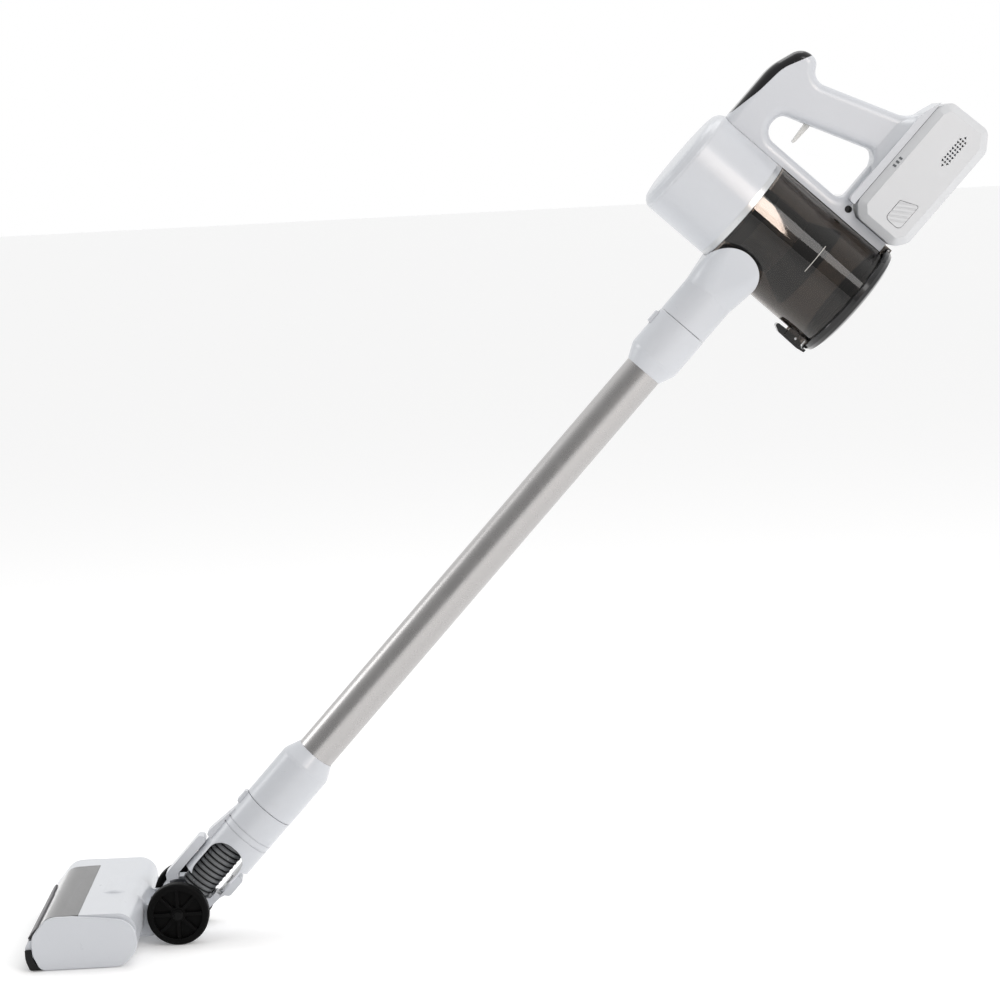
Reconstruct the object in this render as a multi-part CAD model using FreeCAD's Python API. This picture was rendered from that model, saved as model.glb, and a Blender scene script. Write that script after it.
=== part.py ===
"""Cordless stick vacuum in its working lean, built as separate pieces.

World frame: +Z up, the floor at Z = 0, the head's nose toward -X, the symmetry plane at Y = 0.
Wand pieces are drawn upright in the wand frame (X toward the rear, Z along the tube, Z = 0 at the wheel axle)
and then leaned back by LEAN_DEG about the axle. Head pieces are drawn in the head frame, X = 0 at the axle.
All sizes are in millimetres.
"""

import FreeCAD
import Part
import math
import os

V = FreeCAD.Vector

# Overall stance
LEAN_DEG = 43.33
WHEEL_R = 31.0
AXLE_OFFSET = 4.4
AXLE_Z = WHEEL_R

# General clearances and walls
WALL = 2.4
SEAT = 0.15
MOVE_GAP = 0.4
RUN_FIT = 0.05

# Heights along the wand, measured from the axle
NECK_BASE_Z = 34.0
ROLL_Z = 50.0
NECK_SEAM_Z = 131.7
LOWER_SHOULDER_Z = 188.0
LOWER_TUBE_Z = 204.7
UPPER_TUBE_Z = 710.2
UPPER_SHOULDER_Z = 727.0
DUCT_SEAM_Z = 769.6
SPIGOT_LENGTH = 40.0
TUBE_SEAT = 18.0
BUTTON_TRAVEL = 2.0
BUTTON_FIT = 0.25
BUTTON_PROUD = 2.6
BUTTON_HALF = (6.0, 7.0)

# Radii about the wand
TUBE_R = 19.75
TUBE_WALL = 1.2
COUPLING_R = 27.3
SPIGOT_R = 21.8
SOCKET_R = 27.0

# Motor, bin and lid, all about the main axis, which runs along X below the handle's spine
SPINE_TOP_Z = 960.4
SPINE_DEPTH = 7.9
BIN_R = 58.0
MAIN_Z = SPINE_TOP_Z - SPINE_DEPTH - BIN_R
CAP_FACE_X = -112.0
CAP_SEAM_X = -101.5
RING_X = -34.0
BIN_X = -28.0
BIN_END_X = 102.6
LID_X = 103.0
LID_APEX_X = 117.3
HOUSING_R = BIN_R
BIN_WALL = 2.2
LID_R = BIN_R + 5.5
CORE_R = 33.0
SKIRT_R = 46.0
CORE_WINDOW_TURN = 7.0
SHAFT_R = 4.0
MOTOR_R = 31.0
LATCH_HALF = 8.0
LATCH_PIN_R = 1.2
LATCH_PIVOT = (93.0, MAIN_Z - BIN_R - 4.5)
LID_HINGE = (106.0, MAIN_Z + BIN_R + 4.5)

# Handle
GRIP_HALF = 17.0
GRIP_EDGE = 9.0
SIDE_WALL = 5.2
FLANGE_X = 40.5
FLANGE_END_X = 48.0
FLANGE_HALF = 30.4
FLANGE_LOW_Z = 968.5
SPINE_END_X = 99.0
SCREW_SPOTS = [(-82.0, 1030.0), (-82.0, 974.0), (-6.0, 1029.0), (26.0, 1043.0)]
SCREW_HEAD_Y = 9.5
SCREW_HEAD_R = 2.8
SCREW_R = 1.3
BOSS_R = 4.2

# Charging jack
JACK_R = 3.5
JACK_BORE_R = 2.75
JACK_BORE_DEPTH = 7.0
JACK_CENTRE = (48.3, 961.8)

# Battery
BATTERY_HALF = 38.0
BATTERY_END_X = 113.6
BATTERY_LOW_Z = 961.2
BATTERY_TOP_Z = 1107.5
BATTERY_CHAMFER = 8.0
VENT_X = 87.6
VENT_LOW_Z = 1052.4
BUTTON_CENTRE = (87.8, 990.5)
CELL_R = 9.2
CELL_LENGTH = 65.0

# Neck, its swivel and its hose
REAR_EAR_X = 19.2
FRONT_EAR_X = -27.4
SWIVEL_R = 5.0
HOSE_X = -4.6
HOSE_R = 16.5
HOSE_PITCH = 5.5

# Head
HEAD_HALF = 125.0
END_CAP_T = 4.0
HEAD_FRONT_X = -136.5
HEAD_REAR_X = -34.5
NOSE_X = -143.5
HEAD_TOP = 52.5
HEAD_WALL = 2.2
SOLE_Z = 1.0
BRUSH_X = -101.0
BRUSH_Z = 25.6
BRUSH_CORE_R = 16.0
BRISTLE_R = 24.0
BRISTLE_HALF = 98.0
BRUSH_MOTOR_X = -59.0
BRUSH_MOTOR_Z = 26.0
BARREL_R = 24.0
BARREL_HALF = 31.0
CRADLE_WALL = 3.0
CRADLE_TOP_Z = 38.0
WINDOW_END_Y = 91.0
WHEEL_IN_Y = 37.0
WHEEL_OUT_Y = 52.0
AXLE_R = 4.0
THROAT_R = 13.0
SOLE_TOP = 5.0
MOUTH_FRONT_X = -121.0
MOUTH_REAR_X = -80.0
MOUTH_HALF = 113.0
PULLEY_Y = 104.0
MOTOR_PULLEY_R = 7.0
BRUSH_PULLEY_R = BRUSH_CORE_R


def cylinder(start, direction, radius, length):
    """A solid cylinder from its start point along a direction."""
    return Part.makeCylinder(radius, length, start, direction)


def along_x(x0, x1, radius, y=0.0, z=MAIN_Z):
    """A cylinder along X, about the main axis unless told otherwise."""
    return cylinder(V(x0, y, z), V(1, 0, 0), radius, x1 - x0)


def along_y(y0, y1, radius, x, z):
    """A cylinder along Y at X, Z."""
    return cylinder(V(x, y0, z), V(0, 1, 0), radius, y1 - y0)


def along_z(z0, z1, radius, x=0.0, y=0.0):
    """A cylinder along Z at X, Y."""
    return cylinder(V(x, y, z0), V(0, 0, 1), radius, z1 - z0)


def box(x0, x1, y0, y1, z0, z1):
    """A block between two corners."""
    return Part.makeBox(x1 - x0, y1 - y0, z1 - z0, V(x0, y0, z0))


def rounded_wire(corners, plane="xz", offset=0.0):
    """A closed wire through corners (a, b, radius), each corner rounded by its radius."""
    def point(a, b):
        if plane == "xz":
            return V(a, offset, b)
        if plane == "yz":
            return V(offset, a, b)
        return V(a, b, offset)

    count = len(corners)
    edges = []
    joints = []
    for i in range(count):
        here = corners[i]
        before = corners[i - 1]
        after = corners[(i + 1) % count]
        p = point(here[0], here[1])
        to_before = (point(before[0], before[1]) - p).normalize()
        to_after = (point(after[0], after[1]) - p).normalize()
        radius = here[2]
        if radius <= 0:
            joints.append((p, p, None))
            continue
        half = math.acos(max(-1.0, min(1.0, to_before.dot(to_after)))) / 2
        reach = radius / math.tan(half)
        middle_way = (to_before + to_after).normalize()
        centre = p + middle_way * (radius / math.sin(half))
        joints.append((p + to_before * reach, p + to_after * reach, centre - middle_way * radius))
    for i in range(count):
        start, end, middle = joints[i]
        if middle is not None:
            edges.append(Part.Arc(start, middle, end).toShape())
        nxt = joints[(i + 1) % count][0]
        if (nxt - end).Length > 1e-6:
            edges.append(Part.makeLine(end, nxt))
    return Part.Wire(edges)


def rounded_face(corners, plane="xz", offset=0.0):
    """The face inside a rounded wire."""
    return Part.Face(rounded_wire(corners, plane, offset))


def slab(corners, half_width):
    """A profile in X and Z carried across the symmetry plane by a half width each way."""
    return rounded_face(corners, "xz", -half_width).extrude(V(0, 2 * half_width, 0))


def turned(profile, along="x", centre=V(0, 0, MAIN_Z)):
    """A solid turned about an axis through centre, from (position, radius) points."""
    if along == "x":
        points = [centre + V(a, 0, r) for a, r in profile]
        axis = V(1, 0, 0)
    elif along == "y":
        points = [centre + V(0, a, r) for a, r in profile]
        axis = V(0, 1, 0)
    else:
        points = [centre + V(r, 0, a) for a, r in profile]
        axis = V(0, 0, 1)
    wire = Part.makePolygon(points + [points[0]])
    return Part.Face(wire).revolve(centre, axis, 360)


def softened(shape, radius, picker):
    """The shape with the edges the picker accepts rounded by a radius."""
    edges = [edge for edge in shape.Edges if picker(edge)]
    return shape.makeFillet(radius, edges)


def one_body(shape):
    """The main solid of a shape, without the empty slivers that a cut can leave beside it."""
    return max(shape.removeSplitter().Solids, key=lambda solid: solid.Volume)


def flat_side(half_width):
    """Picks the edges that lie in the two side planes at Y = +/- half_width."""
    def picker(edge):
        bounds = edge.BoundBox
        return bounds.YLength < 1e-6 and abs(abs(bounds.YMin) - half_width) < 1e-6
    return picker


# ---------------------------------------------------------------- hand unit

HANDLE_OUTLINE = [
    (-101.5, 940.0, 0), (-101.5, 1018.0, 60), (-89.5, 1052.0, 16), (-70.5, 1053.0, 11), (-59.5, 1034.5, 14),
    (34.0, 1067.0, 30), (FLANGE_END_X, 1092.0, 0), (FLANGE_END_X, 966.9, 0), (59.0, SPINE_TOP_Z, 0),
    (SPINE_END_X, SPINE_TOP_Z, 0), (SPINE_END_X, 940.0, 0),
]
FINGER_GAP = [
    (-64.0, 963.5, 14), (37.5, 963.5, 10), (37.0, 1024.0, 11), (-64.0, 989.0, 13),
]


def handle_solid():
    """The handle's outer body, with its long side edges rounded for the hand."""
    outline = rounded_face(HANDLE_OUTLINE, "xz", -GRIP_HALF)
    gap = rounded_face(FINGER_GAP, "xz", -GRIP_HALF)
    body = outline.cut(gap).extrude(V(0, 2 * GRIP_HALF, 0))

    def grip_edges(edge):
        return flat_side(GRIP_HALF)(edge) and edge.BoundBox.XMax < FLANGE_END_X - 0.5
    return softened(body, GRIP_EDGE, grip_edges)


def handle_hollow():
    """The space inside the handle, a wall in from its outline and well in from its rounded sides."""
    half = GRIP_HALF - SIDE_WALL
    outline = rounded_face(HANDLE_OUTLINE, "xz", -half).makeOffset2D(-WALL)
    gap = rounded_face(FINGER_GAP, "xz", -half).makeOffset2D(WALL)
    return outline.cut(gap).extrude(V(0, 2 * half, 0))


def flange_solid(shrink=0.0):
    """The broad rear plate of the handle, which carries the battery."""
    corners = [
        (FLANGE_X + shrink, FLANGE_LOW_Z + shrink, 4), (FLANGE_END_X + 0.01, FLANGE_LOW_Z + shrink, 0),
        (FLANGE_END_X + 0.01, 1098.0 - shrink, 0), (FLANGE_X + 3 + shrink, 1086.0 - shrink, 6),
        (FLANGE_X + shrink, 1076.0, 10),
    ]
    return slab(corners, FLANGE_HALF - shrink)


def panel_zone(grow=0.0):
    """The space in front of the curved line where the panel meets the white handle."""
    line = [(-110.0, 958.0 - grow, 0), (-101.4, 958.0 - grow, 0), (-94.6 + grow, 992.0, 60),
            (-91.4 + grow, 1024.0, 40), (-80.0 + grow, 1047.0, 12), (-73.0 + grow, 1060.0, 0), (-110.0, 1060.0, 0)]
    return slab(line, GRIP_HALF + 2)


def handle_panel():
    """The black panel over the front edge of the handle, a shell that ends flush with both sides."""
    return one_body(handle_solid().common(panel_zone()).cut(handle_hollow()).cut(front_of_spine()))


def front_of_spine():
    """The space that the motor housing takes under the handle."""
    return along_x(-150, BIN_X, HOUSING_R + SEAT)


def flange_flare():
    """The smooth widening from the grip to the flange, open where the finger gap is."""
    def section(x, half, low, high, radius):
        corners = [(-half, low, radius), (half, low, radius), (half, high, radius), (-half, high, radius)]
        return rounded_wire(corners, "yz", x)
    flare = Part.makeLoft([
        section(22.0, GRIP_HALF - 3.0, 1026.0, 1056.0, 9.0), section(32.0, GRIP_HALF + 1.5, 1016.0, 1064.0, 9.0),
        section(FLANGE_X + 2.0, FLANGE_HALF - 1.0, 1002.0, 1075.0, 9.0),
    ], True)
    gap = rounded_face(FINGER_GAP, "xz", -FLANGE_HALF)
    return flare.cut(gap.extrude(V(0, 2 * FLANGE_HALF, 0)))


def handle_whole():
    """Both handle halves as one hollow body."""
    outer = handle_solid().fuse([flange_solid(), flange_flare()])
    hollow = handle_hollow().fuse(flange_solid(WALL).common(flange_hollow_limit()))
    body = outer.cut(hollow)
    body = body.cut(front_of_spine())
    body = body.cut(along_x(BIN_X - 0.1, 150, BIN_R + MOVE_GAP))
    body = body.fuse([along_y(-GRIP_HALF + SIDE_WALL, GRIP_HALF - SIDE_WALL, BOSS_R, x, z) for x, z in SCREW_SPOTS])
    body = body.cut(handle_screws()).cut(trigger_pin())
    body = body.cut([along_y(SCREW_HEAD_Y, GRIP_HALF + 1, SCREW_HEAD_R + SEAT, x, z) for x, z in SCREW_SPOTS])
    body = body.cut(panel_zone(SEAT))
    body = body.cut(jack_barrel(SEAT))
    body = body.cut(trigger_slot())
    body = body.cut(tongue_block(SEAT))
    return body


def flange_hollow_limit():
    """The part of the flange that may be hollow: behind its front wall and short of its rear face."""
    return box(FLANGE_X + WALL, FLANGE_END_X - WALL, -60, 60, 900, 1200)


def handle_half(side):
    """One half of the handle, side = -1 for the left half at -Y and +1 for the right."""
    low, high = (-60, 0) if side < 0 else (0, 60)
    half = handle_whole().common(box(-200, 200, low, high, 800, 1200))
    return half.removeSplitter()


def front_cap():
    """The motor's front cap with a rounded rim and an inner snap ring."""
    rim = HOUSING_R
    profile = [
        (CAP_FACE_X - 1.5, 0), (CAP_FACE_X - 1.0, 26), (CAP_FACE_X, rim - 12), (CAP_FACE_X + 1.3, rim - 6.5),
        (CAP_FACE_X + 4.0, rim - 2.8), (CAP_FACE_X + 8.0, rim - 0.3), (CAP_SEAM_X, rim), (CAP_SEAM_X, rim - WALL - SEAT),
        (CAP_SEAM_X + 3, rim - WALL - SEAT), (CAP_SEAM_X + 3, rim - 2 * WALL), (CAP_SEAM_X - 2, rim - 2 * WALL - 1),
        (CAP_FACE_X + 2.4, rim - 12), (CAP_FACE_X + 1.2, 0),
    ]
    return turned(profile)


def motor_housing():
    """The white motor housing with a row of exhaust slots on its far side."""
    shell = along_x(CAP_SEAM_X, RING_X, HOUSING_R).cut(along_x(CAP_SEAM_X - 1, RING_X - WALL, HOUSING_R - WALL))
    shell = shell.cut(along_x(CAP_SEAM_X - 1, RING_X + 1, MOTOR_R - 6))
    slot_count = 7
    slot_pitch = 8.0
    for i in range(slot_count):
        turn = 80.0 + (i - (slot_count - 1) / 2) * slot_pitch
        slot = box(-96, -80, -1.5, 1.5, -HOUSING_R - 5, -HOUSING_R + 8)
        slot.rotate(V(0, 0, 0), V(1, 0, 0), turn)
        slot.translate(V(0, 0, MAIN_Z))
        shell = shell.cut(slot)
    return shell


def trim_ring():
    """The silver ring between the motor housing and the dust bin."""
    return along_x(RING_X, BIN_X, BIN_R).cut(along_x(RING_X - 1, BIN_X + 1, BIN_R - 6))


def motor_can():
    """The fan motor's can, bored for its shaft."""
    can = along_x(-78, -50, MOTOR_R - 4).fuse(along_x(-50, RING_X - WALL - 9, MOTOR_R))
    chamber = along_x(-49, RING_X, MOTOR_R - 2)
    return can.cut(chamber).cut(along_x(-80, -40, SHAFT_R + RUN_FIT))


def motor_mount():
    """The rubber ring that holds the motor in the housing."""
    outer = HOUSING_R - WALL - SEAT
    return along_x(-64, -56, outer).cut(along_x(-65, -55, MOTOR_R - 4 + SEAT))


def exhaust_filter():
    """The pleated exhaust filter behind the front cap."""
    return along_x(-97, -82, 46).cut(along_x(-98, -81, 22))


def impeller():
    """The fan wheel and its shaft, with eleven radial blades."""
    blades = 11
    wheel = along_x(-47.5, -46, MOTOR_R - 4)
    for i in range(blades):
        blade = box(-46, -40, -0.6, 0.6, 5, MOTOR_R - 4.5)
        blade.rotate(V(0, 0, 0), V(1, 0, 0), 360.0 * i / blades)
        blade.translate(V(0, 0, MAIN_Z))
        wheel = wheel.fuse(blade)
    shaft = along_x(-76, -39, SHAFT_R)
    hub = turned([(-48, 0), (-48, 8), (-40, 6), (-37.5, 0)])
    return wheel.fuse([shaft, hub]).removeSplitter()


def tongue_block(grow=0.0):
    """Space for the battery's plug in the rear face of the handle."""
    return box(FLANGE_END_X - 5 - grow, FLANGE_END_X + 1, -12 - grow, 12 + grow, 1000 - grow, 1040 + grow)


def jack_barrel(grow=0.0):
    """The round charging jack on the near side of the spine."""
    return along_y(-GRIP_HALF - 0.6, -GRIP_HALF + 9, JACK_R + grow, *JACK_CENTRE)


def charging_jack():
    """The charging jack: a barrel with its blind bore."""
    bore = along_y(-GRIP_HALF - 2, -GRIP_HALF + JACK_BORE_DEPTH, JACK_BORE_R, *JACK_CENTRE)
    return jack_barrel().cut(bore)


def inlet_duct():
    """The white inlet: a round duct, a saddle with a rounded top under the bin, and the male spigot."""
    def ring(z, half_x, half_y, radius):
        corners = [(-half_x, -half_y, radius), (half_x, -half_y, radius), (half_x, half_y, radius),
                   (-half_x, half_y, radius)]
        return rounded_wire(corners, "xy", z)
    crown = MAIN_Z - 30.5
    flare = Part.makeLoft([
        ring(crown - 62.0, 26.2, 26.2, 25.9), ring(crown - 42.0, 28.4, 31.0, 24.0),
        ring(crown - 24.0, 29.0, 42.0, 18.0), ring(crown, 29.0, 52.0, 12.0),
    ], True)
    side = rounded_face([(-29.2, DUCT_SEAM_Z, 0), (29.2, DUCT_SEAM_Z, 0), (29.2, crown - 1.0, 28.9),
                         (-29.2, crown - 1.0, 28.9)], "xz", -60)
    flare = flare.common(side.extrude(V(0, 120, 0)))
    pipe = along_z(DUCT_SEAM_Z, crown - 52.0, SOCKET_R)
    pipe = pipe.fuse(along_z(DUCT_SEAM_Z - SPIGOT_LENGTH, DUCT_SEAM_Z, SPIGOT_R))
    body = flare.fuse(pipe).removeSplitter()
    body = body.cut(along_z(DUCT_SEAM_Z - SPIGOT_LENGTH - 1, MAIN_Z, SPIGOT_R - WALL))
    body = body.cut(along_x(-60, 60, BIN_R + MOVE_GAP))
    return body


def trigger_slot():
    """The slit in the grip's underside that the trigger comes through."""
    return box(-43.0, -29.5, -4.6, 4.6, 985.0, 1015.0)


def trigger():
    """The thin trigger lever on its own pivot barrel."""
    blade = slab([(-38.6, 1006, 0), (-33.5, 1006, 0), (-32.8, 996, 0), (-34.0, 976.5, 1.2), (-36.8, 976.5, 1.2),
                  (-38.2, 996, 0)], 4.0)
    barrel = along_y(-4.0, 4.0, 3.4, -36.0, 1006.5)
    return blade.fuse(barrel).cut(along_y(-5, 5, 1.5 + RUN_FIT, -36.0, 1006.5)).removeSplitter()


def trigger_pin():
    """The pin the trigger turns on, held in both handle halves."""
    return along_y(-14.0, 14.0, 1.5, -36.0, 1006.5)


def trigger_switch():
    """The switch body above the trigger, in front of its barrel."""
    return box(-56, -42, -5, 5, 1003, 1013)


def circuit_board():
    """The control board in the front column."""
    board = box(-94, -92.4, -11, 11, 966, 1014)
    parts = [box(-92.4, -89.5, -7, 4, 969 + 15 * i, 979 + 15 * i) for i in range(3)]
    return board.fuse(parts).removeSplitter()


def battery_contacts():
    """The handle's contact strip behind the battery plug."""
    return box(FLANGE_END_X - 7.2, FLANGE_END_X - 5 - SEAT, -11, 11, 1002, 1038)


def handle_screws():
    """Screws that close the two handle halves: heads in the right half, shanks across the seam."""
    screws = []
    for x, z in SCREW_SPOTS:
        shank = along_y(-9.0, SCREW_HEAD_Y, SCREW_R, x, z)
        head = along_y(SCREW_HEAD_Y, SCREW_HEAD_Y + 2.4, SCREW_HEAD_R, x, z)
        screws.append(shank.fuse(head).removeSplitter())
    return Part.makeCompound(screws)


# ---------------------------------------------------------------- battery

BATTERY_OUTLINE = [
    (FLANGE_END_X + MOVE_GAP, 973.0, 12), (60.0, BATTERY_LOW_Z, 12), (104.0, BATTERY_LOW_Z, 12),
    (BATTERY_END_X, 974.0, 12), (BATTERY_END_X, 1090.0, 10), (101.0, BATTERY_TOP_Z, 10),
    (55.0, BATTERY_TOP_Z - 2, 10), (FLANGE_END_X + MOVE_GAP, 1092.0, 10),
]


def battery_case():
    """The battery pack's case: hollow, with chamfered borders, vents and the two button pockets."""
    core = slab(BATTERY_OUTLINE, BATTERY_HALF)
    edges = [edge for edge in core.Edges if flat_side(BATTERY_HALF)(edge)]
    outer = core.makeChamfer(BATTERY_CHAMFER, edges)
    hollow = rounded_face(BATTERY_OUTLINE, "xz", -BATTERY_HALF + WALL + 1).makeOffset2D(-WALL)
    hollow = hollow.extrude(V(0, 2 * (BATTERY_HALF - WALL - 1), 0))
    inner_edges = [edge for edge in hollow.Edges if flat_side(BATTERY_HALF - WALL - 1)(edge)]
    case = outer.cut(hollow.makeChamfer(BATTERY_CHAMFER - 1.2, inner_edges))
    case = case.cut(charge_lights())
    for side in (-1, 1):
        case = case.cut(button_block(side, SEAT + 0.2, 9.0))
        case = case.cut(vent_holes(side))
    return case.fuse(tongue_case()).removeSplitter()


def tongue_case():
    """The plug on the front of the battery."""
    return box(FLANGE_END_X - 4.4, FLANGE_END_X + MOVE_GAP + 1, -11.4, 11.4, 1000.6, 1039.4)


def vent_holes(side):
    """Three columns of small triangular vents with thin ribs between them, in a rounded strip."""
    rows = 10
    pitch = 3.8
    reach = 1.7
    outer = side * (BATTERY_HALF + 1)
    holes = []
    for row in range(rows):
        columns = (0,) if row in (0, rows - 1) else (-1, 0, 1)
        for column in columns:
            flip = 1 if (row + column) % 2 else -1
            corners = [V(VENT_X + column * 3.0 + reach * math.sin(math.radians(turn)), outer,
                         VENT_LOW_Z + row * pitch + flip * reach * math.cos(math.radians(turn)))
                       for turn in (0, 120, 240)]
            face = Part.Face(Part.makePolygon(corners + [corners[0]]))
            holes.append(face.extrude(V(0, -side * 6.0, 0)))
    return Part.makeCompound(holes)


def button_outline(grow=0.0):
    """The battery release button's outline: a slanted top and a rounded foot."""
    x, z = BUTTON_CENTRE
    return [(x - 9.0 - grow, z - 13.0 - grow, 5), (x + 9.0 + grow, z - 13.0 - grow, 5),
            (x + 9.0 + grow, z + 17.0 + grow, 2), (x - 9.0 - grow, z + 9.0 + grow, 2)]


def button_block(side, grow, depth):
    """A block under the button outline, from just outside the case inward."""
    outer = side * (BATTERY_HALF + 0.6)
    face = rounded_face(button_outline(grow), "xz", outer)
    return face.extrude(V(0, -side * depth, 0))


def battery_button(side):
    """One ribbed release button, pressed toward the middle plane."""
    plate = button_block(side, 0.0, 5.0)
    x, z = BUTTON_CENTRE
    for i in range(5):
        groove = box(-14, 14, -0.5, 0.5, -0.8, 0.8)
        groove.rotate(V(0, 0, 0), V(0, 1, 0), -32)
        groove.translate(V(x, side * (BATTERY_HALF + 0.6), z - 9 + 5.2 * i))
        plate = plate.cut(groove)
    return plate


def battery_cells():
    """Six round cells in two rows across the pack."""
    cells = []
    for i in range(3):
        for j in range(2):
            x = 67.0 + 21.0 * j
            z = 1024.0 + 22.0 * i
            cells.append(along_y(-CELL_LENGTH / 2, CELL_LENGTH / 2, CELL_R, x, z))
    return Part.makeCompound(cells)


def battery_board():
    """The charge board below the cells."""
    return box(58, 100, -26, 26, 1006.0, 1008.0)


def charge_lights():
    """Three small charge lights on the slanted front border of the near side."""
    lights = []
    for i in range(3):
        light = box(-2.1, 2.1, -0.3, 1.2, -1.1, 1.1)
        light.rotate(V(0, 0, 0), V(0, 0, 1), -45)
        across = 0.55 * BATTERY_CHAMFER
        light.translate(V(FLANGE_END_X + MOVE_GAP + across, -BATTERY_HALF + BATTERY_CHAMFER - across,
                          1022.0 + 4.6 * i))
        lights.append(light)
    return Part.makeCompound(lights)


# ---------------------------------------------------------------- bin and lid

def bin_shell():
    """The smoky bin: a tube with a ring-shaped floor at the motor end and the dirt inlet underneath."""
    start = BIN_X + MOVE_GAP
    tube = along_x(start, BIN_END_X, BIN_R).cut(along_x(start + BIN_WALL, 120, BIN_R - BIN_WALL))
    tube = tube.cut(along_x(BIN_X - 1, BIN_X + 5, CORE_R - 8))
    inlet = along_z(MAIN_Z - BIN_R - 7, MAIN_Z - 24, SPIGOT_R - WALL - 2)
    tube = tube.cut(inlet)
    for side in (-1, 1):
        y0, y1 = (LATCH_HALF + 0.5, LATCH_HALF + 3) if side > 0 else (-LATCH_HALF - 3, -LATCH_HALF - 0.5)
        cheek = box(82.0, 101.0, y0, y1, LATCH_PIVOT[1] - 3.4, LATCH_PIVOT[1] + 7.0)
        tube = tube.fuse(cheek.cut(along_x(50, 120, BIN_R - 0.5)))
        ear = box(SPINE_END_X + MOVE_GAP, LID_HINGE[0] + 2.4, *sorted((side * 8.4, side * 12.0)),
                  LID_HINGE[1] - 11.0, LID_HINGE[1] + 2.4)
        ear = ear.cut(along_x(50, BIN_END_X, BIN_R - 0.5))
        tube = tube.fuse(ear.cut(along_x(BIN_END_X, 120, BIN_R + 1.2)))
    tube = tube.cut(along_y(-20, 20, LATCH_PIN_R, *LATCH_PIVOT))
    return tube.cut(along_y(-20, 20, LATCH_PIN_R, *LID_HINGE)).removeSplitter()


def latch_pin():
    """The pin of the lid latch."""
    return along_y(-LATCH_HALF - 3.2, LATCH_HALF + 3.2, LATCH_PIN_R, *LATCH_PIVOT)


def lid_pin():
    """The pin of the lid's hinge, through the bin's ears and the lid's knuckle."""
    return along_y(-12.0, 12.0, LATCH_PIN_R, *LID_HINGE)


def lid_latch():
    """The latch lever under the bin, with a hook that catches the lid's lug."""
    z = LATCH_PIVOT[1]
    lever = slab([(69.5, z + 1.0, 2), (69.5, z - 2.5, 2), (76.0, z - 5.8, 4), (100.0, z - 6.4, 4), (108.6, z - 5.0, 1),
                  (108.6, z - 1.8, 0.5), (106.4, z - 1.8, 0), (106.4, z - 3.2, 0), (103.4, z - 3.2, 0),
                  (99.5, z + 1.2, 1), (86.0, z + 2.0, 1)], LATCH_HALF)
    lever = lever.cut(along_y(-20, 20, LATCH_PIN_R + RUN_FIT, *LATCH_PIVOT))
    return lever.cut(along_x(60, 102, BIN_R + 1.2)).removeSplitter()


def cyclone_core():
    """The cyclone core: a mesh-covered tube that flares into a skirt, closed at the far end."""
    profile = [(BIN_X + MOVE_GAP + BIN_WALL + SEAT, CORE_R - 2), (BIN_X + 4, CORE_R), (-10, CORE_R),
               (28, CORE_R), (30, CORE_R + 1), (56, SKIRT_R), (59, SKIRT_R), (59, SKIRT_R - 2), (34, CORE_R - 2),
               (34, 0), (31.5, 0), (31.5, CORE_R - 3), (BIN_X + MOVE_GAP + BIN_WALL + SEAT, CORE_R - 3)]
    core = turned(profile)
    for i in range(6):
        window = box(-9, 27, -9, 9, CORE_R - 6, CORE_R + 3)
        window.rotate(V(0, 0, 0), V(1, 0, 0), 60.0 * i + CORE_WINDOW_TURN)
        window.translate(V(0, 0, MAIN_Z))
        core = core.cut(window)
    return core


def mesh_screen():
    """The thin metal mesh over the core's windows."""
    return along_x(-10, 28, CORE_R + 0.4).cut(along_x(-11, 29, CORE_R + 0.02))


def pleated_filter():
    """The pleated filter inside the core."""
    return along_x(-24, 26, CORE_R - 5).cut(along_x(-25, 24, 13))


def bin_lid():
    """The black lid: a rim over the bin's end, a shallow dome, a hinge knuckle and the latch lug."""
    profile = [
        (LID_X, BIN_R + 1.5), (LID_X, LID_R - 1), (LID_X + 1, LID_R), (LID_X + 5.0, LID_R), (LID_X + 9.0, LID_R - 2.2),
        (LID_X + 11.6, BIN_R - 4), (LID_X + 13.4, 36), (LID_APEX_X, 0), (LID_APEX_X - 2.4, 0), (LID_X + 10.8, 36),
        (LID_X + 9.2, BIN_R - 6), (LID_X + 3, BIN_R - 1), (LID_X, BIN_R - 1),
    ]
    lid = turned(profile)
    lug = box(103.9, 106.0, -5, 5, LATCH_PIVOT[1] - 2.7, LATCH_PIVOT[1] + 0.5)
    knuckle = along_y(-8.0, 8.0, 2.4, *LID_HINGE)
    lid = lid.fuse([lug, knuckle])
    for y0, y1 in ((-12.4, -8.0), (8.0, 12.4)):
        lid = lid.cut(box(102, LID_HINGE[0] + 4.0, y0, y1, LID_HINGE[1] - 5.2, LID_HINGE[1] + 5.0))
    return one_body(lid.cut(along_y(-20, 20, LATCH_PIN_R + RUN_FIT, *LID_HINGE)))


def lid_seal():
    """The lid's rubber seal, just inside the bin's end."""
    return along_x(BIN_END_X - 3.6, LID_X - SEAT, BIN_R - BIN_WALL - 0.4).cut(along_x(90, 110, BIN_R - BIN_WALL - 4))


# ---------------------------------------------------------------- wand

def wand_tube():
    """The aluminium tube, its ends seated in the two couplings."""
    low = LOWER_TUBE_Z - TUBE_SEAT
    high = UPPER_TUBE_Z + TUBE_SEAT
    return along_z(low, high, TUBE_R).cut(along_z(low - 1, high + 1, TUBE_R - TUBE_WALL))


def coupling(seam_z, shoulder_z, tube_z):
    """The outer body of a coupling, from its seam to the tube."""
    sign = 1 if tube_z > seam_z else -1
    profile = [(seam_z, 0), (seam_z, COUPLING_R - 0.6), (seam_z + sign * 0.6, COUPLING_R), (shoulder_z, COUPLING_R),
               (shoulder_z + sign * 3, COUPLING_R - 0.8), (tube_z - sign * 1.5, TUBE_R + 1.2), (tube_z, TUBE_R + 0.5),
               (tube_z, 0)]
    return turned(profile, "z", V(0, 0, 0))


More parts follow.
